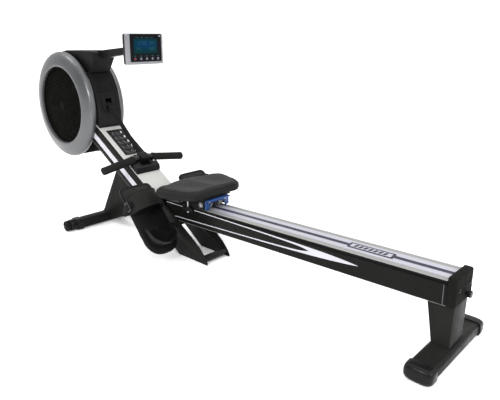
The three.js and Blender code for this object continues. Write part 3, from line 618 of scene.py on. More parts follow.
def make_grille(name, side):
    edge, pitch, wires = 0.1850, 0.0068, []
    count = int(edge / pitch)
    section = [(-0.0012, -0.0007), (0.0012, -0.0007), (0.0012, 0.0007), (-0.0012, 0.0007)]
    for i in range(-count, count + 1):
        offset = i * pitch
        half = math.sqrt(edge ** 2 - offset ** 2)
        steps = max(4, int(half / 0.012))
        along = [half * (2 * k / steps - 1) for k in range(steps + 1)]
        for upright in (False, True):
            points = []
            for t in along:
                y = side * (dish(math.hypot(t, offset)) - (0.0022 if upright else 0.0008))
                points.append((DRUM_X + offset, y, DRUM_Z + t) if upright else (DRUM_X + t, y, DRUM_Z + offset))
            wires.append(sweep(points, section, ALONG_X if upright else ALONG_Z))
    rim = [(0.1806, 0.0925), (0.1846, 0.0925), (0.1854, 0.0935), (0.1854, 0.0955), (0.1846, 0.0964),
           (0.1806, 0.0968)]
    hub = [(0, 0.0960), (0.019, 0.0960), (0.020, 0.0980), (0.0185, 0.1000), (0, 0.1008)]
    wires += [lathe(profile, DRUM_X, DRUM_Z, 72, side) for profile in (rim, hub)]
    stand_for("grille_" + name, merged(*wires))
    # A black sheet just behind the wires stands in for the shade inside the drum: painted shade.
    front = [(r, dish(r) - 0.0034) for r in (0, 0.06, 0.12, 0.1845)]
    screen = lathe(front + [(r, y - 0.0006) for r, y in front[::-1]], DRUM_X, DRUM_Z, 72, side)
    piece("grille_shade_sheet_" + name, screen, "painted_shade_black", "frame")


def make_ring(name, side):
    outer = [(0.2548, 0.0672), (0.2562, 0.0715), (0.2566, 0.0760), (0.2560, 0.0806), (0.2543, 0.0850),
             (0.2514, 0.0890), (0.2474, 0.0924), (0.2420, 0.0955), (0.2340, 0.0989), (0.2250, 0.1020),
             (0.2150, 0.1048), (0.2060, 0.1069), (0.1980, 0.1081), (0.1925, 0.1083), (0.1890, 0.1076),
             (0.1868, 0.1062), (0.1860, 0.1042)]
    inner = [(0.1860, 0.0860), (0.1886, 0.0860), (0.1886, 0.1045), (0.198, 0.1053), (0.221, 0.1008),
             (0.242, 0.0932), (0.2510, 0.0855), (0.2530, 0.0780), (0.2530, 0.0672)]
    stand_for("ring_cover_" + name, lathe(outer + inner, DRUM_X, DRUM_Z, 180, side))


def make_shell(name, side):
    wall = [(0.2320, 0.0003), (0.2350, 0.0003), (0.2350, 0.0215), (0.2346, 0.0220), (0.2346, 0.0232),
            (0.2350, 0.0237), (0.2350, 0.0620), (0.2346, 0.0625), (0.2346, 0.0637), (0.2350, 0.0642),
            (0.2350, 0.0700), (0.190, 0.0700), (0.190, 0.0672), (0.232, 0.0672)]
    body = lathe(wall, DRUM_X, DRUM_Z, 160, side)
    passage = prism(rectangle(-0.160, 0.060, -0.094, 0.0008), -0.067, 0.067)
    passage.transform(BEAM)
    window = prism(rectangle(DATUM - 1.770, DATUM - 1.700, 0.575, 0.618), -0.022, 0.022)
    stand_for("drum_shell_" + name, carved(body, passage, window), sharp=30)


def make_drum():
    for name, side in SIDES:
        make_ring(name, side)
        make_grille(name, side)
        make_shell(name, side)

    # A black sheet fills the drum's underside between the two rings: painted shade.
    belly = arc(DRUM_X, DRUM_Z, 0.2525, -130, -41, 30) + arc(DRUM_X, DRUM_Z, 0.2375, -41, -130, 30)
    piece("drum_underside_shade", prism(belly, -0.0668, 0.0668, bevel=0.002), "painted_shade_black", "frame")

    bore = 0.0088
    wheel = [(bore, 0.025), (0.030, 0.025), (0.118, 0.031), (0.118, 0.027), (0.119, 0.026), (0.167, 0.026),
             (0.168, 0.027), (0.168, 0.045), (0.167, 0.046), (0.119, 0.046), (0.118, 0.045), (0.118, 0.039),
             (0.030, 0.052), (bore, 0.052)]
    stand_for("flywheel", lathe(wheel, DRUM_X, DRUM_Z, 120))
    refined("fan_wheel", 0.0)
    spool = mirrored([(bore, 0.016), (0.063, 0.016), (0.064, 0.015), (0.063, 0.014), (0.044, 0.014)])
    stand_for("strap_reel", lathe(spool, DRUM_X, DRUM_Z, 72))
    spiral = []
    for i in range(145):
        radius, turn = 0.015 + 0.026 * i / 144, i * math.pi / 24
        spiral.append((DRUM_X + radius * math.cos(turn), 0.02025, DRUM_Z + radius * math.sin(turn)))
    stand_for("recoil_spring", sweep(spiral, rectangle(-0.00325, 0.00325, -0.0005, 0.0005)))
    refined("flywheel_axle", 0.0008)
    refined("brake_magnets", 0.0015)


def make_fairings():
    refined("front_fairing", 0.0022, 3)
    refined("console_bracket", 0.0045, 4)
    guide = mirrored([(0, 0.0587), (0.003, 0.0587), (0.003, 0.020), (0.0072, 0.020), (0.008, 0.0192)])
    stand_for("strap_guide_roller", lathe(guide, GUIDE_X, GUIDE_Z, 48), "dark_steel")

    # The bezel round the strap slot follows the fairing's leaning face.
    face = placed(DATUM - 1.7185, 0, 0.592, -math.atan2(0.0115, 0.077))
    bezel = carved(prism(rectangle(-0.034, 0.034, -0.0325, 0.0315, 0.004), -0.0015, 0.0030, "X", bevel=0.0011),
                   prism(rectangle(-0.0175, 0.0175, -0.0252, 0.0252, 0.002), -0.01, 0.01, "X"))
    piece("slot_bezel", bezel, "black_plastic", "frame", place=face)
    lips = [prism(rectangle(-0.0170, 0.0170, z - 0.0016, z + 0.0016, 0.001), -0.0022, 0.0020, "X", bevel=0.0005)
            for z in (-0.0240, 0.0240)]
    piece("slot_lips", merged(*lips), "gloss_black", "frame", place=face)

    # The ribbed panel above it lies in a shallow recess.
    panel = placed(DATUM - 1.7536, 0, 0.679, -math.atan2(0.0455, 0.086))
    ribs = [prism(rectangle(-0.044, 0.044, z - 0.0014, z + 0.0014, 0.0008), -0.0006, 0.0022, "X", bevel=0.0004)
            for z in [-0.0395 + 0.0079 * i for i in range(11)]]
    piece("panel_ribs", merged(*ribs), "black_plastic", "frame", place=panel)
    heads = [facing(DATUM - 1.7763, y, 0.7243, (0.873, 0, 0.488)) for y in (-0.054, 0.054)]
    screws("fairing_screws", "frame", heads, 0.0035, 0.0025)


# ---------------------------------------------------------------- console
SEGMENTS = {"0": "abcdef", "1": "bc", "2": "abged", "4": "fgbc", "5": "afgcd", "8": "abcdefg"}


def digit(symbol, y, z, width, height, x):
    """One digit made of display bars on the plane at x."""
    t, gap, half = height * 0.11, height * 0.03, height / 2
    bars = {"a": (t, width - t, height - t, height), "d": (t, width - t, 0, t),
            "g": (t, width - t, half - t / 2, half + t / 2),
            "f": (0, t, half + gap, height - gap), "b": (width - t, width, half + gap, height - gap),
            "e": (0, t, gap, half - gap), "c": (width - t, width, gap, half - gap)}
    return [prism(rectangle(y + a, y + b, z + low, z + high), x, x + 0.00025, "X")
            for a, b, low, high in [bars[name] for name in SEGMENTS[symbol]]]


def make_console():
    refined("console_arm", 0.005, 4)
    back_shell = DATUM - 1.4235
    body = stand_for("console_body", soften(cad_mesh("console_body", (back_shell, 0, 0)), 0.0028, 3))
    paint_faces(body, "gloss_black", lambda centre, normal: centre.x < back_shell - 0.0001)
    refined("console_lens", 0.0)
    face = DATUM - 1.4113
    screen = prism(rectangle(-0.0575, 0.0640, 0.8300, 0.8900, 0.0025), face, face + 0.0004, "X")
    piece("display_screen", screen, "display", "console")
    large, small = (0.0125, 0.0085, 0.0145), (0.0105, 0.007, 0.012)
    marks = []
    for text, y, z, (pitch, width, height) in (
            ("12", -0.043, 0.866, large), ("00", -0.014, 0.866, large), ("500", 0.022, 0.867, small),
            ("24", -0.043, 0.843, small), ("080", 0.022, 0.843, small)):
        for k, symbol in enumerate(text):
            marks += digit(symbol, y + pitch * k, z, width, height, face + 0.0004)
    piece("display_digits", merged(*marks), "print_display", "console")
    dots = [prism(rectangle(y - 0.005, y + 0.005, 0.8185, 0.8205), face, face + 0.0003, "X")
            for y in (-0.053, -0.023, 0.007, 0.037, 0.067)]
    top = [prism(rectangle(y - 0.007, y + 0.007, 0.8945, 0.8958), face, face + 0.0003, "X")
           for y in (-0.040, -0.015, 0.010, 0.035)]
    piece("console_marks", merged(*dots, *top), "print_teal", "console")
    mark = prism(rectangle(0.0745, 0.0820, 0.8985, 0.9020, 0.001), face, face + 0.0005, "X")
    piece("console_light", mark, "print_white", "console")

    for i in range(5):
        y, z = 0.007 + 0.030 * (i - 2), 0.808
        dome = [(0, -0.0065), (0.0055, -0.0065), (0.0055, 0.0006), (0.0050, 0.0010), (0.0036, 0.0012), (0, 0.0012)]
        button = lathe(dome, segments=40)
        turn = placed(DATUM - 1.411, y, z, -math.pi / 2, "Z")
        stand_for(f"button_{i + 1}", button, "button_grey" if i else "button_red", place=turn)

    back = [facing(DATUM - 1.437, y, z, (-1, 0, 0)) for y in (-0.08, 0.08) for z in (0.797, 0.898)]
    screws("console_screws", "console", back, 0.003, 0.002)
    pivot = [facing(DATUM - 1.450, side * 0.0192, 0.846, (0, side, 0)) for _, side in SIDES]
    screws("tilt_caps", "frame", pivot, 0.0055, 0.0035, "zinc_steel")


# ---------------------------------------------------------------- handle and strap
HANDLE_S, HANDLE_H = 0.246, 0.033


def handle_point(y):
    reach = abs(y)
    t = min(1.0, max(0.0, (reach - 0.020) / 0.050))
    drop = t * t * (3 - 2 * t) * max(0.0, reach - 0.020)
    return Vector((HANDLE_S + 0.13 * drop, y, HANDLE_H - 0.073 * drop))


def handle_run(start, end, steps):
    return [handle_point(start + (end - start) * i / steps) for i in range(steps + 1)]


def make_handle():
    stand_for("handle_bar", tube(handle_run(-0.214, 0.214, 64), 0.0125, 40), place=BEAM)
    for name, side in SIDES:
        parts = [tube(handle_run(side * 0.0515, side * 0.2170, 40), 0.0174, 40, dome=0.0038)]
        for y in (0.060, 0.206):
            ring = [handle_point(side * (y + d)) for d in (-0.002, -0.001, 0.001, 0.002)]
            parts.append(tube(ring, 0.0178, 40))
        stand_for("handle_grip_" + name, merged(*parts), place=BEAM)
    refined("handle_clamp", 0.0035, 3)
    refined("handle_cradle", 0.0022, 3)
    heads = [BEAM @ facing(HANDLE_S - 0.004, side * 0.020, HANDLE_H + 0.012, (0, side, 0)) for _, side in SIDES]
    screws("clamp_screws", "handle", heads, 0.0035, 0.0028, "dark_steel")
    pin = prism(circle(HANDLE_S - 0.0145, HANDLE_H + 0.0105, 0.0026, 24), -0.0165, 0.0165, bevel=0.0004)
    on_beam("strap_pin", pin, "dark_steel", "handle")


def make_pull_strap():
    on_reel, on_guide, thickness = 0.0456, 0.0094, 0.0018
    end = BEAM @ Vector((HANDLE_S - 0.0135, 0, HANDLE_H + 0.0015))
    gap = Vector((GUIDE_X - DRUM_X, GUIDE_Z - DRUM_Z))
    leave = 90 + math.degrees(math.atan2(gap.y, gap.x) - math.asin((on_reel - on_guide) / gap.length))
    out = Vector((end.x - GUIDE_X, end.z - GUIDE_Z))
    drop = math.degrees(math.atan2(out.y, out.x) + math.acos(on_guide / out.length))
    wound = arc(DRUM_X, DRUM_Z, on_reel, leave + 300, leave, 60)
    over = arc(GUIDE_X, GUIDE_Z, on_guide, leave, drop, 10)
    section = rectangle(-0.0125, 0.0125, -thickness / 2, thickness / 2, 0.0008, 2)
    last = Vector((over[-1][0], 0, over[-1][1]))
    tail = last + (end - last) * 0.04
    path = [(x, 0, z) for x, z in wound + over] + [tail]
    stand_for("pull_strap", sweep(path, section))

    free = [tail + (end - tail) * i / 40 for i in range(41)]
    strip = piece("pull_strap_free", sweep(free, section), "webbing", None)
    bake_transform(strip)
    stitch = []
    for row in (-0.008, -0.003, 0.003, 0.008):
        for k in range(5):
            a = end - (end - last).normalized() * (0.004 + 0.003 * k)
            thread = [a + Vector((x, row, 0.0011)) for x in (-0.0009, 0.0009)]
            stitch.append(sweep(thread, circle(0, 0, 0.0004, 6)))
    piece("strap_stitching", merged(*stitch), "print_grey", "handle")


# ---------------------------------------------------------------- pedals
def make_footplate(name, side):
    place = pedal_place(side)
    refined("footplate_" + name, 0.0018, 3)
    ribs = [prism(rectangle(t, t + 0.0035, -0.0625, 0.0625, 0.0015), -0.0002, 0.0014, "Z", bevel=0.0005)
            for t in [0.052 + 0.0105 * i for i in range(9)]]
    edge = carved(prism(sole_outline(0.003), -0.0003, 0.0022, "Z", bevel=0.0008),
                  prism(sole_outline(0.0075), -0.01, 0.01, "Z"))
    piece("footplate_tread_" + name, merged(edge, *ribs), "black_plastic", "frame", place=place)
    toe = prism(arc(0.0335, 0.046, 0.024, 90, 180, 8) + arc(0.0335, -0.046, 0.024, 180, 270, 8)
                + [(0.047, -0.070), (0.047, 0.070)], -0.0002, 0.0011, "Z", bevel=0.0005)
    piece("footplate_toe_" + name, toe, "toe_grey", "frame", place=place)


def sole_outline(inset):
    """The footplate's edge moved in by the inset, from its rounded toe corners to its narrower heel."""
    half, toe, heel, radius = 0.0795 - inset, inset, 0.324 - inset, 0.028
    front = arc(toe + radius, half - radius, radius, 90, 180, 8)
    front += arc(toe + radius, radius - half, radius, 180, 270, 8)
    curve = bend((heel - 0.064, -half), (heel - 0.004, 0.010 - half), (heel, -0.014), 12)
    return front + mirrored(curve)


def heel_curve(inset):
    """The heel cup's bend: half an ellipse moved in by the inset."""
    turns = [math.pi * (i / 32 - 0.5) for i in range(33)]
    return [(0.246 + (0.052 - inset) * math.cos(a), (0.060 - inset) * math.sin(a)) for a in turns]


def make_heel_cup(name, side):
    def outline(inset, front):
        return [(front, inset - 0.060)] + heel_curve(inset) + [(front, 0.060 - inset)]

    cup = carved(prism(outline(0, 0.206), 0.0004, 0.050, "Z"), prism(outline(0.003, 0.186), 0.0034, 0.060, "Z"),
                 prism([(0.190, 0.018), (0.302, 0.060), (0.190, 0.060)], -0.07, 0.07))
    soften(cup, 0.0008, 2, 40)
    stand_for("heel_cup_" + name, cup, place=pedal_place(side))
    wall = [(0.209, -0.0585), (0.228, -0.0585)] + heel_curve(0.0015) + [(0.228, 0.0585), (0.209, 0.0585)]
    lip = [(t, v, min(0.050, 0.018 + (t - 0.190) * 0.375) + 0.0002) for t, v in wall]
    bead = sweep(lip, circle(0, 0, 0.0021, 12), ALONG_Z)
    piece("heel_cup_lip_" + name, bead, "black_rubber", "heel_cup_" + name, place=pedal_place(side))


def arch(t, wide, high, section, steps=48, start=0):
    """A section carried over the foot, from the start angle to the same angle on the other side."""
    path = [(t, wide * u, 0.0005 + high * v) for u, v in arc(0, 0, 1, start, 180 - start, steps)]
    return sweep(path, section, ALONG_X)


def make_foot_strap(name, side):
    place = pedal_place(side)
    middle = 0.088
    band = arch(middle, 0.0733, 0.0582, rectangle(-0.040, 0.040, -0.0016, 0.0016, 0.0013, 3))
    beads = [arch(middle + d, 0.0752, 0.0602, circle(0, 0, 0.0011, 8), 48, 6) for d in (-0.036, 0.036)]
    ridges = [arch(middle + 0.01 * k, 0.0750, 0.0600, circle(0, 0, 0.0007, 6), 40, 35) for k in range(-2, 3)]
    stand_for("foot_strap_" + name, merged(band, *beads, *ridges), "strap_rubber", place=place)

    # The buckle and its webbing lie against the footplate's outer edge.
    out = side * 0.0813
    buckle = carved(prism(rectangle(0.070, 0.112, -0.005, 0.020, 0.004), out - 0.0011, out + 0.0011, bevel=0.0006),
                    prism(rectangle(0.0755, 0.1065, 0.0075, 0.0160, 0.002), out - 0.01, out + 0.01),
                    prism(rectangle(0.0755, 0.1065, -0.001, 0.0040, 0.001), out - 0.01, out + 0.01))
    piece("strap_buckle_" + name, buckle, "dark_steel", "frame", place=place)
    webbing = [(0.091, side * 0.0650, 0.0325), (0.091, side * 0.0740, 0.0255), (0.091, side * 0.0800, 0.0185),
               (0.091, side * 0.0832, 0.0105), (0.092, side * 0.0832, 0.000), (0.094, side * 0.0822, -0.012),
               (0.098, side * 0.0820, -0.026), (0.104, side * 0.0826, -0.040)]
    tail = sweep(webbing, rectangle(-0.013, 0.013, -0.0008, 0.0008, 0.0006, 2), ALONG_X)
    piece("strap_tail_" + name, tail, "webbing", "frame", place=place)


def make_pedals():
    x, z = DATUM - 1.215, 0.115
    stand_for("pedal_crossbar", lathe(mirrored([(0.0095, 0.206), (0.0115, 0.206), (0.012, 0.2055)]), x, z, 48))
    for name, side in SIDES:
        plug = [(0, 0.2000), (0.0094, 0.2000), (0.0094, 0.2062), (0.0119, 0.2062), (0.0119, 0.2080),
                (0.0108, 0.2090), (0, 0.2092)]
        piece("crossbar_plug_" + name, lathe(plug, x, z, 40, side), "gloss_black", "frame")
        make_footplate(name, side)
        make_heel_cup(name, side)
        make_foot_strap(name, side)


# ---------------------------------------------------------------- rail and rear leg
# The third value ends the stretch at the rail's front whose top is printed black as painted shade under the seat.
RAIL_LENGTH, RAIL_HALF, SEAT_SHADE_END = 1.300, 0.0594, -1.135


def side_print(name, outline, side, look, lift=0.0):
    inner, outer = RAIL_HALF + 0.00005 + lift, RAIL_HALF + 0.0003 + lift
    on_rail(name, prism(outline, side * inner, side * outer), look)


def swoosh_edge(s, upper):
    """The printed lens along the rail's side: the outer edge of its upper or lower line."""
    t = min(1.0, max(0.0, (s + 1.25) / 0.965))
    return -0.0070 - 0.0205 * t - 0.0110 * t ** 10 if upper else -0.0655 + 0.0150 * t + 0.0115 * t ** 8


def make_swoosh(name, side):
    """Two printed lines that grow towards the split and meet there in a solid blade."""
    start, split, tip = -1.235, -0.477, -0.285

    def stations(a, b):
        return [a + (b - a) * i / 60 for i in range(61)]

    def inner_edge(s, upper):
        ratio = min(1.0, max(0.0, (s - start) / (split - start)))
        gap = (swoosh_edge(s, True) - swoosh_edge(s, False)) / 2
        width = min(gap, 0.0030 + 0.0040 * ratio ** 3 + 0.0068 * ratio ** 30)
        return swoosh_edge(s, upper) - width if upper else swoosh_edge(s, upper) + width

    for label, upper in (("swoosh_upper_", True), ("swoosh_lower_", False)):
        run = stations(start, split)
        line = [(s, swoosh_edge(s, upper)) for s in run] + [(s, inner_edge(s, upper)) for s in run[::-1]]
        side_print(label + name, line, side, "print_white")
    run = stations(split, tip)
    blade = [(s, swoosh_edge(s, True)) for s in run] + [(s, swoosh_edge(s, False)) for s in run[::-1][1:]]
    side_print("swoosh_blade_" + name, blade, side, "print_white")


def make_rail():
    turn = RAIL.to_3x3()
    beam = cad_mesh("rail_beam", RAIL @ Vector((SEAT_SHADE_END, 0, 0)), turn @ ALONG_X)
    made = stand_for("rail_beam", soften(beam, 0.0006), "black_print_and_shade")

    def is_bare(centre, normal):
        """The top behind the painted shade under the seat's front, and the lower edges."""
        local = RAIL.inverted() @ centre
        on_top = local.z > -0.0028 and local.x > SEAT_SHADE_END and (turn.transposed() @ normal).z > 0.3
        return on_top or local.z < -0.0778

    paint_faces(made, "rail_aluminium", is_bare)

    # Ahead of that station the track strips, margins and edges are printed black: painted shade under the seat.
    ends, front = (SEAT_SHADE_END, -0.0005), (-RAIL_LENGTH + 0.002, SEAT_SHADE_END - 0.0003)
    for name, side in SIDES:
        for label, y0, y1, look, rise in (("track_strip_", 0.0094, 0.0362, "track_steel", -0.0002),
                                          ("track_margin_", 0.0366, 0.0460, "rail_aluminium", -0.0004)):
            outline = rectangle(side * y0, side * y1, -0.00145, rise)
            on_rail(label + name, prism(outline, *ends, "X", bevel=0.0002), look)
            on_rail(label + "front_" + name, prism(outline, *front, "X"), "black_print_and_shade")
        edge = rectangle(side * 0.0464, side * 0.0590, -0.0004, 0.0003)
        on_rail("rail_shaded_edge_" + name, prism(edge, *front, "X"), "black_print_and_shade")
        side_panel = rectangle(-RAIL_LENGTH + 0.05, -0.012, -0.0772, -0.0148, 0.001)
        side_print("side_panel_" + name, side_panel, side, "black_print_and_shade", lift=-0.0001)
        make_swoosh(name, side)
        side_print("side_trim_" + name, rectangle(-0.0105, -0.0085, -0.0772, -0.0150), side, "print_grey")

    line = prism(rectangle(-0.0090, 0.0090, -0.0018, 0.0002), -RAIL_LENGTH + 0.002, -0.0005, "X")
    on_rail("rail_groove_strip", line, "print_navy")

    plate = prism(fillet([(-0.354, -0.021), (-0.190, -0.021), (-0.196, 0.021), (-0.360, 0.021)], 0.003),
                  0.0001, 0.0006, "Z")
    on_rail("rail_label_border", plate, "print_navy")
    inner = prism(fillet([(-0.347, -0.0135), (-0.200, -0.0135), (-0.204, 0.0135), (-0.351, 0.0135)], 0.002),
                  0.0006, 0.0009, "Z")
    on_rail("rail_label", inner, "track_steel")
    bars = [prism([(s, -0.010), (s + 0.011, -0.010), (s + 0.015, 0.010), (s + 0.004, 0.010)], 0.0009, 0.0011, "Z")
            for s in [-0.337 + 0.0177 * k for k in range(7)]]
    on_rail("rail_label_bars", merged(*bars), "print_navy")
    stop = lathe([(0, 0), (0.0075, 0), (0.0075, 0.0008), (0.0055, 0.0016), (0, 0.0018)], segments=36)
    on_rail("rail_centre_screw", stop, "print_navy", place=RAIL @ placed(-0.585, 0, 0.0001, math.pi / 2, "X"))

    paint_faces(refined("rail_end_cap", 0.0032, 3), "cap_matte", lambda centre, normal: True)
    profile = [(0, 0.0283), (0.005, 0.0283), (0.005, 0.034), (0.0105, 0.0342), (0.011, 0.0350), (0.011, 0.0425),
               (0.0102, 0.0438), (0.007, 0.0442), (0, 0.0443)]
    knob = lathe(profile, segments=60)
    for vertex in knob.verts:  # twelve flutes round its rim
        radius = math.hypot(vertex.co.x, vertex.co.z)
        if radius > 0.0100 and vertex.co.y > 0.0345:
            swell = 1 - 0.035 * (0.5 + 0.5 * math.cos(12 * math.atan2(vertex.co.z, vertex.co.x)))
            vertex.co.x *= swell
            vertex.co.z *= swell
    stand_for("rear_knob", knob, place=RAIL @ placed(0, 0.018, -0.058, -math.pi / 2, "Z"))
    heads = [RAIL @ facing(0.028, y, -0.030, ALONG_X) for y in (-0.04, 0.04)]
    screws("end_cap_screws", "rail", heads, 0.0045, 0.003)


def make_rear_leg():
    refined("rear_leg", 0.0016)
    for name, side in SIDES:
        cap = foot_cap(DATUM, side, [
            (0.1603, 0.0435, 0.0, 0.0485, 5.0), (0.1610, 0.044, 0.0, 0.049, 5.0), (0.175, 0.044, 0.0, 0.049, 4.8),
            (0.186, 0.0438, 0.0, 0.0488, 4.2), (0.1920, 0.0428, 0.0006, 0.0475, 3.6),
            (0.1965, 0.0400, 0.0022, 0.0445, 3.1), (0.1990, 0.0350, 0.0055, 0.0400, 2.7),
            (0.2000, 0.0270, 0.0110, 0.0335, 2.5)])
        stand_for("rear_foot_cap_" + name, cap)
    gusset = [(-0.150, -0.0812), (-0.082, -0.0812), (-0.088, -0.0880), (-0.142, -0.0880)]
    on_rail("leg_gusset", prism(fillet(gusset, 0.003), -0.045, 0.045, bevel=0.001), "frame_paint")
    heads = [RAIL @ facing(s, y, -0.0880, (0, 0, -1)) for s in (-0.132, -0.099) for y in (-0.03, 0.03)]
    bolts("leg_bolts", "rail", heads, 0.005, 0.004)


# ---------------------------------------------------------------- seat
SEAT_FRONT, SEAT_REAR = -1.202, -0.966
SEAT_EDGE = [(-1.202, 0.030), (-1.197, 0.064), (-1.186, 0.110), (-1.173, 0.153), (-1.159, 0.178), (-1.142, 0.189),
             (-1.113, 0.190), (-1.067, 0.180), (-1.018, 0.161), (-0.988, 0.147), (-0.974, 0.130), (-0.966, 0.105)]


def seat_half(s):
    """Half the pad's width at a station: a curved front, broad corners, then a narrower tail."""
    for (s0, y0), (s1, y1) in zip(SEAT_EDGE, SEAT_EDGE[1:]):
        if s <= s1:
            return y0 + (y1 - y0) * (max(s, s0) - s0) / (s1 - s0)
    return SEAT_EDGE[-1][1]


def seat_top(s, y):
    """Height of the pad's top: two shallow seat hollows, raised wings and a soft crown."""
    t = (s - SEAT_FRONT) / (SEAT_REAR - SEAT_FRONT)
    hollow = 0.0040 * math.exp(-((t - 0.58) / 0.24) ** 2 - ((abs(y) / 0.165 - 0.42) / 0.26) ** 2)
    wing = 0.0040 * max(0.0, abs(y) / 0.187 - 0.45) / 0.55 * max(0.0, 1 - t * 1.1)
    ridge = 0.0012 * math.exp(-(y / 0.028) ** 2)
    return 0.0842 - hollow + wing + ridge


def seat_base_mesh():
    """The pad before it is filled, a little smaller than it ends up."""
    columns, rows = 44, 30
    bm = bmesh.new()
    top, bottom = [], []
    for grid in (top, bottom):
        for i in range(rows + 1):
            s = SEAT_FRONT + 0.001 + (SEAT_REAR - SEAT_FRONT - 0.002) * (0.5 - 0.5 * math.cos(math.pi * i / rows))
            half = seat_half(s) - 0.001
            line = []
            for j in range(columns + 1):
                y = half * (2 * j / columns - 1)
                edge = min(1.0, min(i, rows - i) / 3.0, min(j, columns - j) / 1.3)
                fall = 1 - math.sqrt(max(0.0, 1 - (1 - edge) ** 2))
                z = seat_top(s, y) - 0.008 * fall if grid is top else 0.0532 + 0.005 * fall
                line.append(bm.verts.new((s, y, z)))
            grid.append(line)
    for i in range(rows):
        for j in range(columns):
            bm.faces.new((top[i][j], top[i + 1][j], top[i + 1][j + 1], top[i][j + 1]))
            bm.faces.new((bottom[i][j], bottom[i][j + 1], bottom[i + 1][j + 1], bottom[i + 1][j]))
        for j in (0, columns):
            bm.faces.new((top[i][j], bottom[i][j], bottom[i + 1][j], top[i + 1][j]))
    for j in range(columns):
        for i in (0, rows):
            bm.faces.new((top[i][j], top[i][j + 1], bottom[i][j + 1], bottom[i][j]))
    bmesh.ops.recalc_face_normals(bm, faces=bm.faces)
    return bm


def inflated(bm, voxel, pressure, cap):
    """The mesh remeshed and blown up a little as cloth, with each point's move capped."""
    thing = raw_object("seat_cloth", bm)
    remesh = thing.modifiers.new("remesh", "REMESH")
    remesh.mode, remesh.voxel_size = "VOXEL", voxel
    shaped = raw_object("seat_cloth_fine", evaluated(thing))
    bpy.data.objects.remove(thing)
    start = [v.co.copy() for v in shaped.data.vertices]
    cloth = shaped.modifiers.new("cloth", "CLOTH")
    cloth.settings.use_pressure = True
    cloth.settings.uniform_pressure_force = pressure
    cloth.settings.effector_weights.gravity = 0
    for number in range(1, 21):
        scene.frame_set(number)
    result = evaluated(shaped)
    bpy.data.objects.remove(shaped)
    for vertex, before in zip(result.verts, start):
        move = vertex.co - before
        if move.length > cap:
            vertex.co = before + move.normalized() * cap
    scene.frame_set(1)
    return result


def make_seat_pad():
    pad = inflated(seat_base_mesh(), 0.005, 4.0, 0.006)
    for vertex in pad.verts:  # it lies flat on its board
        vertex.co.z = max(vertex.co.z, 0.0523)
    bmesh.ops.smooth_vert(pad, verts=pad.verts, factor=0.5, use_axis_x=True, use_axis_y=True, use_axis_z=True)
    made = stand_for("seat_pad", pad, place=RAIL, sharp=80)
    finer = made.modifiers.new("finer", "SUBSURF")
    finer.levels = finer.render_levels = 1


def make_seat():
    make_seat_pad()
    refined("seat_carriage", 0.0010)
    refined("seat_rear_bracket", 0.0012)
    for node in ("seat_wheelset_front", "seat_wheelset_rear"):
        low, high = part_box(node)
        middle = (low + high) / 2
        half = [(0, 0.071), (0.0045, 0.071), (0.005, 0.0705), (0.005, 0.040), (0.0095, 0.040), (0.0105, 0.0385),
                (0.0165, 0.0385), (0.0175, 0.040), (0.0195, 0.040), (0.0210, 0.0385), (0.0210, 0.0305),
                (0.0203, 0.030), (0.0203, 0.028), (0.0210, 0.0275), (0.0210, 0.0195), (0.0195, 0.018), (0.005, 0.018)]
        wheelset = stand_for(node, lathe(mirrored(half), middle.x, middle.z, 72))
        paint_faces(wheelset, "zinc_steel", lambda centre, normal, m=middle:
                    math.hypot(centre.x - m.x, centre.z - m.z) < 0.0055)

    def is_pin(centre, normal):
        local = RAIL.inverted() @ centre
        outside = not -0.0172 < local.z < -0.0008
        return outside and abs(abs(local.y) - 0.070) < 0.0075 and abs(local.x + 1.083) < 0.009

    for name, side in SIDES:
        paint_faces(refined("seat_guide_" + name, 0.0008), "zinc_steel", is_pin)
    nuts = [RAIL @ facing(s, side * 0.0656, 0.0213, (0, side, 0)) for _, side in SIDES for s in (-1.131, -1.010)]
    bolts("seat_axle_nuts", "seat", nuts, 0.0085, 0.0062)
    board = prism(rectangle(-1.152, -0.984, -0.088, 0.088, 0.012), 0.0518, 0.0530, "Z")
    on_rail("seat_base_board", board, "frame_paint", "seat")
    heads = [RAIL @ facing(-0.981, y, 0.034, ALONG_X) for y in (-0.045, 0.045)]
    screws("bracket_screws", "seat", heads, 0.0045, 0.0035, "zinc_steel")


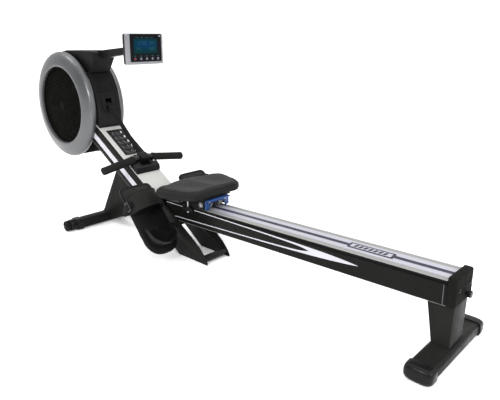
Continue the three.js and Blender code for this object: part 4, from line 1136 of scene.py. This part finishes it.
# ---------------------------------------------------------------- stage, light and camera
def make_stage():
    floor = raw_object("floor", prism(rectangle(-30, 30, -30, 30), -0.02, -0.0002, "Z"))
    look = Shader("floor", 0.9, specular=0.1)
    look.colour(look.noise(0.6), (0.93, 0.93, 0.93), (0.95, 0.95, 0.95))
    look.set("Emission Color", (1, 1, 1, 1))
    look.set("Emission Strength", 0.22)
    floor.data.materials.append(look.material)

    # White all round, but dim behind the camera, so the black parts stay black.
    world = bpy.data.worlds.new("studio")
    world.use_nodes = True
    tree = world.node_tree
    background = tree.nodes["Background"]
    background.inputs["Color"].default_value = (1.0, 1.0, 1.0, 1)
    towards = tree.nodes.new("ShaderNodeVectorMath")
    towards.operation = "DOT_PRODUCT"
    towards.inputs[1].default_value = (0.40, -0.90, -0.10)
    ranged = tree.nodes.new("ShaderNodeMapRange")
    for socket, number in (("From Min", -0.25), ("From Max", 0.55), ("To Min", 1.08), ("To Max", 0.10)):
        ranged.inputs[socket].default_value = number
    tree.links.new(tree.nodes.new("ShaderNodeTexCoord").outputs["Generated"], towards.inputs[0])
    tree.links.new(towards.outputs["Value"], ranged.inputs["Value"])
    tree.links.new(ranged.outputs["Result"], background.inputs["Strength"])
    scene.world = world

    for name, kind, place, target, size, power in (
            ("sun", "SUN", (0.6, -0.5, 4.0), (0, 0, 0), math.radians(100), 2.0),
            ("key", "AREA", (2.6, -0.3, 1.7), (-0.6, 0, 0.5), 2.0, 35),
            ("side", "AREA", (0.5, -2.6, 1.6), (-0.8, 0, 0.55), 0.9, 45),
            ("left", "AREA", (-2.4, -1.6, 2.6), (-0.8, 0, 0.5), 1.0, 20)):
        light = bpy.data.lights.new(name, kind)
        light.energy = power
        if kind == "SUN":
            light.angle = size
        else:
            light.shape, light.size = "DISK", size
        lamp = bpy.data.objects.new(name, light)
        lamp.location = place
        lamp.rotation_mode = "QUATERNION"
        lamp.rotation_quaternion = (Vector(target) - Vector(place)).to_track_quat("-Z", "Y")
        scene.collection.objects.link(lamp)

    scene.view_settings.view_transform = "Standard"


def make_camera():
    data = bpy.data.cameras.new("camera")
    data.sensor_width, data.lens = 36.0, 37.85
    data.clip_start, data.clip_end = 0.05, 100
    camera = bpy.data.objects.new("camera", data)
    yaw, pitch, roll = math.radians(42.169), math.radians(17.747), math.radians(0.5025)
    turn = Matrix.Rotation(yaw, 4, "Z") @ Matrix.Rotation(math.pi / 2 - pitch, 4, "X") @ Matrix.Rotation(roll, 4, "Z")
    camera.matrix_world = Matrix.Translation((1.5759, -1.4189, 0.9215)) @ turn
    scene.collection.objects.link(camera)
    scene.camera = camera


for make in (make_frame, make_instruction_panel, make_front_foot, make_drum, make_fairings, make_console,
             make_handle, make_pull_strap, make_pedals, make_rail, make_rear_leg, make_seat, make_stage, make_camera):
    make()
